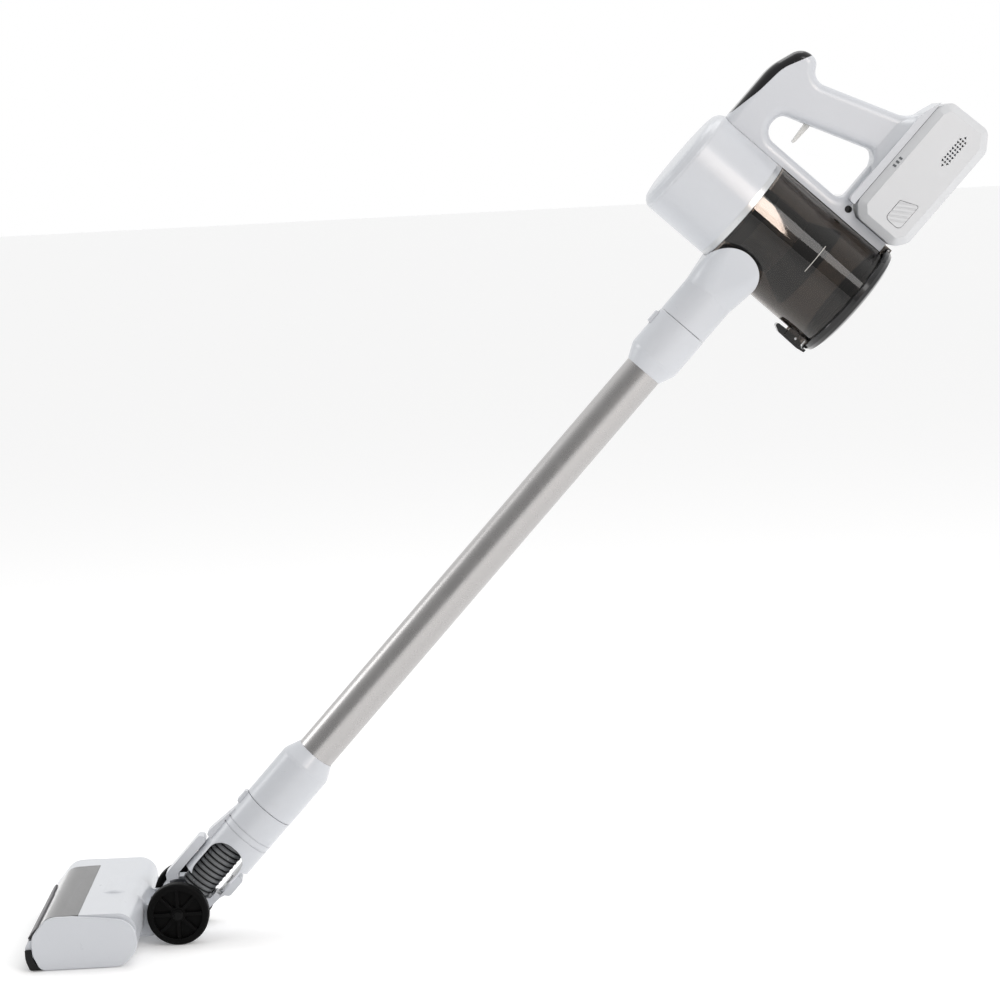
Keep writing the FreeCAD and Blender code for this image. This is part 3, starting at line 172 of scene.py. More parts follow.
class SharedEffects:
    """Builds each shared effect once."""

    def __init__(self) -> None:
        """Build all the groups."""
        self.groups: dict[Effect, bpy.types.NodeTree] = {
            Effect.TONE: self._tone_drift(),
            Effect.MARKS: self._handling_marks(),
            Effect.EDGE: self._edge_wear(),
            Effect.GRAIN: self._mould_grain(),
            Effect.DRAWN: self._drawn_lines(),
            Effect.PLEATS: self._paper_pleats(),
            Effect.WEAVE: self._wire_weave(),
        }

    @staticmethod
    def _tone_drift() -> bpy.types.NodeTree:
        """Slow drift between a colour and its accent, as in any large moulding."""
        group = EffectGroup(Effect.TONE)
        place = group.takes("Vector", "Vector")
        colour = group.takes("Colour", "Color", (0.8, 0.8, 0.8, 1))
        accent = group.takes("Accent", "Color", (0.6, 0.6, 0.6, 1))
        scale = group.takes("Scale", "Float", 20.0)
        amount = group.takes("Amount", "Float", 0.2)
        broad = group.node("TexNoise", {
            "Vector": place, "Scale": scale, "Detail": 3.0, "Roughness": 0.55,
        })
        share = group.maths("MULTIPLY", broad.outputs["Fac"], amount)
        mixed = group.node("Mix", {0: share, 6: colour, 7: accent}, data_type="RGBA")
        group.gives("Colour", "Color", mixed.outputs[2])
        return group.tree

    @staticmethod
    def _handling_marks() -> bpy.types.NodeTree:
        """Roughness that varies with faint smudges and hairline rubbing."""
        group = EffectGroup(Effect.MARKS)
        place = group.takes("Vector", "Vector")
        base = group.takes("Roughness", "Float", 0.4)
        spread = group.takes("Spread", "Float", 0.1)
        scale = group.takes("Scale", "Float", 60.0)
        smudge = group.node("TexNoise", {
            "Vector": place, "Scale": scale, "Detail": 4.0, "Distortion": 0.6,
        })
        fine_scale = group.maths("MULTIPLY", scale, HAIRLINE_TIMES)
        fine = group.node("TexNoise", {"Vector": place, "Scale": fine_scale, "Detail": 2.0})
        both = group.maths("MULTIPLY_ADD", fine.outputs["Fac"], HAIRLINE_SHARE,
                           smudge.outputs["Fac"])
        centred = group.maths("SUBTRACT", both, MARKS_MIDDLE)
        rough = group.maths("MULTIPLY_ADD", centred, spread, base)
        clamped = group.node("Clamp", {"Value": rough, "Min": 0.02, "Max": 1.0})
        group.gives("Roughness", "Float", clamped.outputs[0])
        group.gives("Smudge", "Float", smudge.outputs["Fac"])
        return group.tree

    @staticmethod
    def _edge_wear() -> bpy.types.NodeTree:
        """Softly rounded small edges and a broken mask along them."""
        group = EffectGroup(Effect.EDGE)
        place = group.takes("Vector", "Vector")
        radius = group.takes("Radius", "Float", 0.0005)
        amount = group.takes("Amount", "Float", 0.3)
        rounded = group.node("Bevel", {"Radius": radius}, samples=4)
        shape = group.node("NewGeometry")
        normals = {0: rounded.outputs[0], 1: shape.outputs["Normal"]}
        agree = group.node("VectorMath", normals, operation="DOT_PRODUCT")
        turned = group.maths("SUBTRACT", 1.0, agree.outputs["Value"])
        sharp = group.maths("MULTIPLY", turned, EDGE_GAIN)
        broken = group.node("TexNoise", {"Vector": place, "Scale": WEAR_SCALE, "Detail": 3.0})
        patches = group.maths("MULTIPLY", broken.outputs["Fac"], amount)
        worn = group.maths("MULTIPLY", sharp, patches)
        clamped = group.node("Clamp", {"Value": worn})
        group.gives("Mask", "Float", clamped.outputs[0])
        group.gives("Normal", "Vector", rounded.outputs[0])
        return group.tree

    @staticmethod
    def _mould_grain() -> bpy.types.NodeTree:
        """Fine pebbled texture from a spark-eroded mould."""
        group = EffectGroup(Effect.GRAIN)
        place = group.takes("Vector", "Vector")
        scale = group.takes("Scale", "Float", 2000.0)
        pebbles = group.node("TexVoronoi", {"Vector": place, "Scale": scale}, feature="SMOOTH_F1")
        wide = group.maths("MULTIPLY", scale, GRAIN_WIDE_SHARE)
        soft = group.node("TexNoise", {"Vector": place, "Scale": wide, "Detail": 3.0})
        height = group.maths("ADD", pebbles.outputs["Distance"], soft.outputs["Fac"])
        group.gives("Height", "Float", height)
        return group.tree

    @staticmethod
    def _drawn_lines() -> bpy.types.NodeTree:
        """Long fine lines along the wand, as drawing and anodising leave them."""
        group = EffectGroup(Effect.DRAWN)
        place = group.takes("Vector", "Vector")
        scale = group.takes("Scale", "Float", 1500.0)
        leaned = group.node("Mapping", {"Vector": place, "Rotation": (0.0, -LEAN, 0.0)})
        drawn = group.node("Mapping", {
            "Vector": leaned.outputs[0], "Scale": (1.0, 1.0, DRAWN_STRETCH),
        })
        lines = group.node("TexNoise", {"Vector": drawn.outputs[0], "Scale": scale, "Detail": 2.0})
        cloud = group.node("TexNoise", {"Vector": place, "Scale": CLOUD_SCALE, "Detail": 2.0})
        height = group.maths("MULTIPLY_ADD", cloud.outputs["Fac"], CLOUD_SHARE,
                             lines.outputs["Fac"])
        group.gives("Height", "Float", height)
        return group.tree

    @staticmethod
    def _paper_pleats() -> bpy.types.NodeTree:
        """Folds that run along the bin's axis, with paper fibre on them."""
        group = EffectGroup(Effect.PLEATS)
        place = group.takes("Vector", "Vector")
        scale = group.takes("Scale", "Float", 260.0)
        leaned = group.node("Mapping", {
            "Vector": place, "Rotation": (0.0, -LEAN, 0.0), "Scale": (PLEAT_STRETCH, 1.0, 1.0),
        })
        folds = group.node("TexWave", {
            "Vector": leaned.outputs[0], "Scale": scale, "Distortion": 0.4,
        }, bands_direction="Y")
        fibre = group.node("TexNoise", {"Vector": place, "Scale": FIBRE_SCALE, "Detail": 3.0})
        height = group.maths("MULTIPLY_ADD", fibre.outputs["Fac"], FIBRE_SHARE,
                             folds.outputs["Fac"])
        group.gives("Height", "Float", height)
        return group.tree

    @staticmethod
    def _wire_weave() -> bpy.types.NodeTree:
        """A square wire mesh: its height and the mask of its wires."""
        group = EffectGroup(Effect.WEAVE)
        place = group.takes("Vector", "Vector")
        scale = group.takes("Scale", "Float", 260.0)
        leaned = group.node("Mapping", {"Vector": place, "Rotation": (0.0, -LEAN, 0.0)})
        waves = {"Vector": leaned.outputs[0], "Scale": scale}
        along = group.node("TexWave", waves, bands_direction="X")
        across = group.node("TexWave", waves, bands_direction="Z")
        wires = group.maths("MAXIMUM", along.outputs["Fac"], across.outputs["Fac"])
        mask = group.maths("GREATER_THAN", wires, WIRE_THRESHOLD)
        group.gives("Height", "Float", wires)
        group.gives("Mask", "Float", mask)
        return group.tree


# ---------------------------------------------------------------- finishes


@dataclass(frozen=True)
class Finish:
    """A surface finish made from a principled shader and the shared effects."""

    name: str
    slot: str
    colour: Colour
    accent: Colour
    roughness: float = 0.4
    spread: float = 0.12
    drift_scale: float = 14.0
    drift: float = 0.35
    metallic: float = 0.0
    coat: float = 0.0
    coat_roughness: float = 0.1
    relief: Effect = Effect.GRAIN
    relief_scale: float = 2200.0
    relief_depth: float = 0.00003
    edge_radius: float = 0.0006
    wear: float = 0.25
    wear_colour: Colour = (0.9, 0.9, 0.9)
    transmission: float = 0.0
    ior: float = 1.5
    anisotropy: float = 0.0
    sheen: float = 0.0
    specular: float = 0.5
    cut_out: bool = False

    def _group(self, tree: bpy.types.NodeTree, effects: SharedEffects, effect: Effect,
               place: bpy.types.NodeSocket, **values: float) -> bpy.types.Node:
        """Place a shared effect in a material.

        Args:
            tree: The material's node tree.
            effects: The shared effects.
            effect: Which one to place.
            place: The coordinates that it follows.
            values: Its inputs, by name.

        Returns:
            The group node.
        """
        node = tree.nodes.new("ShaderNodeGroup")
        node.node_tree = effects.groups[effect]
        tree.links.new(place, node.inputs["Vector"])
        for key, value in values.items():
            node.inputs[key].default_value = value
        return node

    def material(self, effects: SharedEffects) -> bpy.types.Material:
        """Build this finish's material, or return it if it is already built.

        Args:
            effects: The shared effects.

        Returns:
            The material.
        """
        found = bpy.data.materials.get(self.name)
        if found:
            return found
        made = bpy.data.materials.new(self.name)
        made.use_nodes = True
        tree = made.node_tree
        shader = tree.nodes["Principled BSDF"]
        place = tree.nodes.new("ShaderNodeTexCoord").outputs["Object"]
        tone = self._group(tree, effects, Effect.TONE, place, Colour=(*self.colour, 1),
                           Accent=(*self.accent, 1), Scale=self.drift_scale, Amount=self.drift)
        marks = self._group(tree, effects, Effect.MARKS, place, Roughness=self.roughness,
                            Spread=self.spread)
        edge = self._group(tree, effects, Effect.EDGE, place, Radius=self.edge_radius,
                           Amount=self.wear)
        relief = self._group(tree, effects, self.relief, place, Scale=self.relief_scale)
        worn = tree.nodes.new("ShaderNodeMix")
        worn.data_type = "RGBA"
        tree.links.new(edge.outputs["Mask"], worn.inputs[0])
        tree.links.new(tone.outputs["Colour"], worn.inputs[6])
        worn.inputs[7].default_value = (*self.wear_colour, 1)
        bump = tree.nodes.new("ShaderNodeBump")
        bump.inputs["Strength"].default_value = 1.0
        bump.inputs["Distance"].default_value = self.relief_depth
        tree.links.new(relief.outputs["Height"], bump.inputs["Height"])
        if not self.transmission:
            tree.links.new(edge.outputs["Normal"], bump.inputs["Normal"])
        tree.links.new(worn.outputs[2], shader.inputs["Base Color"])
        tree.links.new(marks.outputs["Roughness"], shader.inputs["Roughness"])
        tree.links.new(bump.outputs["Normal"], shader.inputs["Normal"])
        for socket, value in {
            "Metallic": self.metallic, "Coat Weight": self.coat,
            "Coat Roughness": self.coat_roughness, "Transmission Weight": self.transmission,
            "IOR": self.ior, "Anisotropic": self.anisotropy, "Sheen Weight": self.sheen,
            "Specular IOR Level": self.specular,
        }.items():
            shader.inputs[socket].default_value = value
        if self.cut_out:
            tree.links.new(relief.outputs["Mask"], shader.inputs["Alpha"])
        return made


WHITE_SHELL = Finish(
    "white_shell_satin", "white_shell", (0.60, 0.62, 0.655), (0.55, 0.57, 0.605), roughness=0.3,
    coat=0.25, coat_roughness=0.16, relief_depth=0.000006, wear=0.12, wear_colour=(0.78, 0.79, 0.8),
)
WHITE_BATTERY = Finish(
    "white_battery_satin", "battery_white", (0.63, 0.645, 0.665), (0.58, 0.59, 0.605),
    roughness=0.36, coat=0.15, coat_roughness=0.25, relief_depth=0.00001, wear=0.15,
    wear_colour=(0.78, 0.78, 0.77),
)
WHITE_LEVER = Finish(
    "white_lever_translucent", "white_shell", (0.78, 0.78, 0.76), (0.7, 0.7, 0.68), roughness=0.28,
    transmission=0.25, wear=0.05,
)
SMOKED_BIN = Finish(
    "smoked_bin_clear", "smoked_bin", (0.17, 0.145, 0.125), (0.13, 0.11, 0.095), roughness=0.03,
    spread=0.01, drift=0.4, transmission=1.0, ior=1.49, relief_scale=60.0, relief_depth=0.0000005,
    specular=0.25, wear=0.05, wear_colour=(0.5, 0.45, 0.4),
)
SMOKED_WINDOW = Finish(
    "smoked_window_clear", "window_smoked", (0.30, 0.295, 0.30), (0.24, 0.24, 0.24), roughness=0.08,
    spread=0.02, transmission=1.0, ior=1.49, relief_scale=60.0, relief_depth=0.0000005,
    specular=0.02, wear=0.05, wear_colour=(0.5, 0.5, 0.5),
)
BLACK_GLOSS = Finish(
    "black_gloss_moulding", "black_gloss", (0.008, 0.008, 0.009), (0.016, 0.016, 0.017),
    roughness=0.16, spread=0.1, coat=0.35, coat_roughness=0.06, relief_depth=0.000004, specular=0.3,
    wear=0.35, wear_colour=(0.06, 0.06, 0.06),
)
CORE_BLACK = Finish(
    "core_black_satin", "black_matte", (0.010, 0.010, 0.010), (0.018, 0.017, 0.016), roughness=0.42,
    relief_depth=0.0000005, specular=0.12, wear=0.2, wear_colour=(0.05, 0.05, 0.05),
)
BLACK_MATTE = Finish(
    "black_matte_moulding", "black_matte", (0.008, 0.008, 0.0085), (0.018, 0.018, 0.019),
    roughness=0.5, specular=0.2, wear=0.4, wear_colour=(0.06, 0.06, 0.06),
)
TYRE = Finish(
    "tyre_rubber", "tyre_black", (0.002, 0.002, 0.002), (0.006, 0.0058, 0.0056), roughness=0.5,
    spread=0.2, relief_scale=1400.0, relief_depth=0.00003, specular=0.07, wear=0.2,
    wear_colour=(0.02, 0.02, 0.02),
)
WHEEL_GLOSS = Finish(
    "wheel_spoke_satin", "black_gloss", (0.002, 0.002, 0.002), (0.005, 0.005, 0.005), roughness=0.2,
    coat=0.06, coat_roughness=0.04, relief_depth=0.000004, specular=0.08, wear=0.25,
    wear_colour=(0.04, 0.04, 0.04),
)
RING_SILVER = Finish(
    "silver_ring_satin", "silver_ring", (0.62, 0.63, 0.64), (0.5, 0.51, 0.52), roughness=0.3,
    metallic=0.85, relief=Effect.DRAWN, relief_depth=0.00001, wear=0.3,
)
TUBE_ANODISED = Finish(
    "tube_anodised_satin", "tube_aluminium", (0.50, 0.49, 0.485), (0.42, 0.41, 0.41),
    roughness=0.28, spread=0.14, drift_scale=8.0, metallic=1.0, anisotropy=0.4, relief=Effect.DRAWN,
    relief_depth=0.000012, wear=0.3, wear_colour=(0.8, 0.8, 0.8),
)
DARK_METAL = Finish(
    "motor_can_zinc", "dark_metal", (0.25, 0.25, 0.26), (0.15, 0.15, 0.16), roughness=0.38,
    metallic=1.0, relief=Effect.DRAWN, relief_depth=0.00002, wear=0.4, wear_colour=(0.5, 0.5, 0.5),
)
STEEL = Finish(
    "machined_steel", "steel", (0.55, 0.55, 0.56), (0.42, 0.42, 0.43), roughness=0.26, metallic=1.0,
    relief=Effect.DRAWN, relief_depth=0.00001, wear=0.3,
)
SCREEN = Finish(
    "screen_wire", "steel", (0.45, 0.44, 0.43), (0.3, 0.3, 0.3), roughness=0.35, metallic=1.0,
    relief=Effect.WEAVE, relief_scale=260.0, relief_depth=0.0001, cut_out=True,
)
FILTER = Finish(
    "filter_paper_pleated", "filter_paper", (0.72, 0.66, 0.56), (0.5, 0.45, 0.38), roughness=0.85,
    relief=Effect.PLEATS, relief_scale=90.0, relief_depth=0.0012, wear=0.1, sheen=0.15,
)
SEAL = Finish(
    "seal_rubber", "rubber_grey", (0.10, 0.10, 0.105), (0.16, 0.16, 0.16), roughness=0.7,
    relief_depth=0.00005, wear=0.3, wear_colour=(0.25, 0.25, 0.25),
)
HOSE_FILM = Finish(
    "hose_film", "hose_grey", (0.26, 0.27, 0.28), (0.18, 0.19, 0.20), roughness=0.25,
    drift_scale=60.0, transmission=0.35, relief_scale=1200.0, wear=0.2, wear_colour=(0.6, 0.6, 0.6),
)
HOSE_WIRE = Finish(
    "hose_wire_coated", "black_matte", (0.006, 0.006, 0.006), (0.015, 0.015, 0.015), roughness=0.35,
    specular=0.2, wear=0.3, wear_colour=(0.1, 0.1, 0.1),
)
BRISTLES = Finish(
    "bristle_nylon", "bristle", (0.62, 0.63, 0.66), (0.40, 0.41, 0.43), roughness=0.5,
    drift_scale=160.0, drift=0.9, relief_depth=0.00001, wear=0.0, sheen=0.2,
)
BOARD = Finish(
    "board_lacquer", "board_green", (0.02, 0.10, 0.045), (0.05, 0.16, 0.07), roughness=0.3,
    coat=0.4, drift_scale=220.0, drift=0.9, wear=0.3, wear_colour=(0.35, 0.3, 0.15),
)
CELL_WRAP = Finish(
    "cell_wrap_film", "cell_wrap", (0.03, 0.10, 0.32), (0.05, 0.16, 0.42), roughness=0.25, coat=0.3,
    drift_scale=40.0, wear=0.3, wear_colour=(0.5, 0.5, 0.52),
)
LAMP = Finish(
    "lamp_lens", "light", (0.10, 0.11, 0.12), (0.16, 0.17, 0.18), roughness=0.15, coat=0.5,
    wear=0.1,
)
NOSE_STRIP = Finish(
    "nose_strip_satin", "black_matte", (0.085, 0.08, 0.09), (0.12, 0.115, 0.125), roughness=0.4,
    relief_depth=0.00001, specular=0.3, wear=0.3, wear_colour=(0.2, 0.2, 0.2),
)
PRINT = Finish(
    "level_print", "white_shell", (0.62, 0.60, 0.56), (0.5, 0.48, 0.45), roughness=0.6,
    drift_scale=900.0, wear=0.0,
)


class Wardrobe:
    """Gives each finish its material and dresses objects in them."""

    def __init__(self, effects: SharedEffects) -> None:
        """Keep the shared effects for the materials."""
        self.effects = effects

    def dress(self, piece: bpy.types.Object, finish: Finish) -> None:
        """Give a piece a finish in every material slot.

        Args:
            piece: The object to dress.
            finish: Its finish.
        """
        material = finish.material(self.effects)
        if not piece.material_slots:
            piece.data.materials.append(material)
        for place in piece.material_slots:
            place.link = "OBJECT"
            place.material = material

    def dress_nodes(self, finishes: dict[str, Finish]) -> None:
        """Dress carried-over CAD nodes.

        Args:
            finishes: The finish of each node, by name.
        """
        for name, finish in finishes.items():
            self.dress(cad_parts[name], finish)
            log.info("%s: %s", name, finish.name)


# ---------------------------------------------------------------- placing and meshes


@dataclass(frozen=True)
class WandFrame:
    """The leaning frame of the wand: x to the rear, z along the tube, origin at the wheel axle."""

    axle_x: float
    axle_z: float
    lean: float = LEAN
    axle_offset: float = 4.4

    @classmethod
    def from_wheels(cls) -> "WandFrame":
        """The frame that has its origin at the middle of the left wheel."""
        low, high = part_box("wheel_left")
        return cls(axle_x=(low.x + high.x) / 2 / MM, axle_z=(low.z + high.z) / 2 / MM)

    def at(self, x: float, y: float, z: float) -> Vector:
        """The place of a wand point, given in millimetres."""
        along = x + self.axle_offset
        return Vector((
            (along * math.cos(self.lean) + z * math.sin(self.lean) + self.axle_x) * MM,
            y * MM,
            (-along * math.sin(self.lean) + z * math.cos(self.lean) + self.axle_z) * MM,
        ))

    def head(self, x: float, y: float, z: float) -> Vector:
        """The place of a floor head point, given in millimetres from the axle."""
        return Vector(((x + self.axle_x) * MM, y * MM, z * MM))


WAND = WandFrame.from_wheels()


class MeshMaker:
    """Collects vertices and faces for one piece."""

    def __init__(self) -> None:
        """Start with an empty mesh."""
        self.points: list[Vector] = []
        self.faces: list[tuple[int, ...]] = []

    def ring_tube(self, rings: list[list[Vector]], closed: bool = False) -> None:
        """Skin a row of rings that have the same number of points.

        Args:
            rings: The rings in order.
            closed: Whether the last ring joins the first; if not, both ends are capped.
        """
        start = len(self.points)
        size = len(rings[0])
        for ring in rings:
            self.points.extend(ring)
        count = len(rings)
        for i in range(count if closed else count - 1):
            low = start + i * size
            high = start + (i + 1) % count * size
            for j in range(size):
                k = (j + 1) % size
                self.faces.append((low + j, low + k, high + k, high + j))
        if not closed:
            self.faces.append(tuple(start + j for j in reversed(range(size))))
            last = start + (count - 1) * size
            self.faces.append(tuple(last + j for j in range(size)))

    def piece(self, name: str, smooth: bool = True) -> bpy.types.Object:
        """Make the object.

        Args:
            name: The piece's name.
            smooth: Whether its faces are shaded smooth.

        Returns:
            The new object, linked to the scene.
        """
        mesh = bpy.data.meshes.new(name)
        mesh.from_pydata([tuple(p) for p in self.points], [], self.faces)
        mesh.polygons.foreach_set("use_smooth", [smooth] * len(mesh.polygons))
        mesh.update()
        made = bpy.data.objects.new(name, mesh)
        bpy.context.scene.collection.objects.link(made)
        return made


# ---------------------------------------------------------------- sub-assemblies


@dataclass
class HandUnit:
    """The motor housing, the loop handle, the trigger and what they hold."""

    wardrobe: Wardrobe

    def build(self) -> None:
        """Dress the hand unit's nodes."""
        self.wardrobe.dress_nodes({
            "motor_housing": WHITE_SHELL, "front_cap": WHITE_SHELL, "trim_ring": RING_SILVER,
            "handle_left": WHITE_SHELL, "handle_right": WHITE_SHELL, "handle_panel": BLACK_GLOSS,
            "inlet_duct": WHITE_SHELL, "motor_can": DARK_METAL, "motor_mount": SEAL,
            "exhaust_filter": FILTER, "impeller": BLACK_MATTE, "trigger": WHITE_LEVER,
            "trigger_pin": STEEL, "trigger_switch": BLACK_MATTE, "circuit_board": BOARD,
            "charging_jack": BLACK_GLOSS, "battery_contacts": BLACK_MATTE, "handle_screws": STEEL,
        })


@dataclass
class Battery:
    """The slide-off battery with its two catches and its lamps."""

    wardrobe: Wardrobe

    def build(self) -> None:
        """Dress the battery's nodes."""
        self.wardrobe.dress_nodes({
            "battery_case": WHITE_BATTERY, "battery_cells": CELL_WRAP, "battery_board": BOARD,
            "charge_lights": LAMP, "battery_button_left": WHITE_BATTERY,
            "battery_button_right": WHITE_BATTERY,
        })


@dataclass
class DustBin:
    """The smoked bin, its lid and latch, and the cyclone inside."""

    wardrobe: Wardrobe
    axis_z: float = 894.5
    radius: float = 58.0
    line_x: float = 50.6
    line_low: float = 886.0
    line_high: float = 918.0
    line_width: float = 0.7
    line_proud: float = 0.06
    line_steps: int = 24

    def build(self) -> None:
        """Dress the bin's nodes and print its level line."""
        self.wardrobe.dress_nodes({
            "bin_shell": SMOKED_BIN, "cyclone_core": CORE_BLACK, "mesh_screen": SCREEN,
            "pleated_filter": FILTER, "latch_pin": STEEL, "lid_pin": STEEL,
            "lid_latch": BLACK_GLOSS, "bin_lid": BLACK_GLOSS, "lid_seal": SEAL,
        })
        self._level_line()

    def _level_line(self) -> None:
        """Print the fill line across the near side of the bin."""
        maker = MeshMaker()
        rings = []
        for i in range(self.line_steps + 1):
            z = self.line_low + (self.line_high - self.line_low) * i / self.line_steps
            angle = math.asin((z - self.axis_z) / self.radius)
            rings.append([
                WAND.at(self.line_x + dx, -(self.radius + dr) * math.cos(angle),
                        self.axis_z + (self.radius + dr) * math.sin(angle))
                for dx, dr in ((0, -0.1), (0, self.line_proud), (self.line_width, self.line_proud),
                               (self.line_width, -0.1))
            ])
        maker.ring_tube(rings)
        line = maker.piece("bin_level_line", smooth=False)
        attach(line, "bin")
        self.wardrobe.dress(line, PRINT)
        log.info("bin_level_line: printed on the bin")


@dataclass
class Wand:
    """The aluminium tube between its two couplings."""

    wardrobe: Wardrobe

    def build(self) -> None:
        """Dress the wand's nodes."""
        self.wardrobe.dress_nodes({
            "wand_tube": TUBE_ANODISED, "upper_coupling": WHITE_SHELL,
            "lower_coupling": WHITE_SHELL, "wand_conduit": BLACK_MATTE,
            "upper_button": WHITE_SHELL, "lower_button": WHITE_SHELL,
        })


@dataclass
class Neck:
    """The swivelling neck with its yoke and the ribbed hose inside."""

    wardrobe: Wardrobe
    hose_x: float = -4.6
    hose_low: float = 22.4
    hose_high: float = 89.4
    hose_radius: float = 15.3
    rib_height: float = 0.8
    film: float = 0.7
    pitch: float = 5.5
    wire_radius: float = 0.8
    around: int = 48
    steps_per_turn: int = 8
    swivel_z: float = 50.0
    bend_half: float = 16.0

    def build(self) -> None:
        """Dress the neck's nodes and make its hose."""
        self.wardrobe.dress_nodes({
            "neck_socket": WHITE_SHELL, "neck_yoke": WHITE_SHELL, "swivel_pins": STEEL,
        })
        film = self._hose_film()
        wire = self._hose_wire()
        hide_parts("neck_hose")
        for piece, finish in ((film, HOSE_FILM), (wire, HOSE_WIRE)):
            self.wardrobe.dress(piece, finish)
            WAND.at(self.hose_x, 0, self.swivel_z + self.bend_half)
            WAND.at(self.hose_x, 0, self.swivel_z - self.bend_half)
            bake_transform(piece)
            log.info("%s: bends across the neck's swivel", piece.name)

    def _hose_film(self) -> bpy.types.Object:
        """The thin film, puffed out between the turns of the wire."""
        maker = MeshMaker()
        step = self.pitch / self.steps_per_turn
        count = int((self.hose_high - self.hose_low) / step)
        outer = []
        inner = []
        for i in range(count + 1):
            z = self.hose_low + i * step
            ring_out = []
            ring_in = []
            for j in range(self.around):
                turn = 2 * math.pi * j / self.around
                phase = 2 * math.pi * z / self.pitch - turn
                radius = self.hose_radius + self.rib_height * (0.5 - 0.5 * math.cos(phase)) ** 0.7
                for ring, size in ((ring_out, radius), (ring_in, radius - self.film)):
                    across = size * math.sin(turn)
                    ring.append(WAND.at(self.hose_x + size * math.cos(turn), across, z))
            outer.append(ring_out)
            inner.append(ring_in)
        maker.ring_tube(outer + inner[::-1], closed=True)
        return maker.piece("hose_film")

    def _hose_wire(self) -> bpy.types.Object:
        """The coated wire that holds the hose open, in the valleys of the film."""
        maker = MeshMaker()
        turns = (self.hose_high - self.hose_low - 2 * self.wire_radius) / self.pitch
        count = int(turns * self.around)
        start = self.hose_low + self.wire_radius
        rings = []
        for i in range(count + 1):
            z = start + self.pitch * i / self.around
            turn = 2 * math.pi * z / self.pitch
            ring = []
            for k in range(8):
                side = 2 * math.pi * k / 8
                radius = self.hose_radius + 0.5 + self.wire_radius * math.cos(side)
                ring.append(WAND.at(self.hose_x + radius * math.cos(turn), radius * math.sin(turn),
                                    z + self.wire_radius * math.sin(side)))
            rings.append(ring)
        maker.ring_tube(rings)
        return maker.piece("hose_wire")


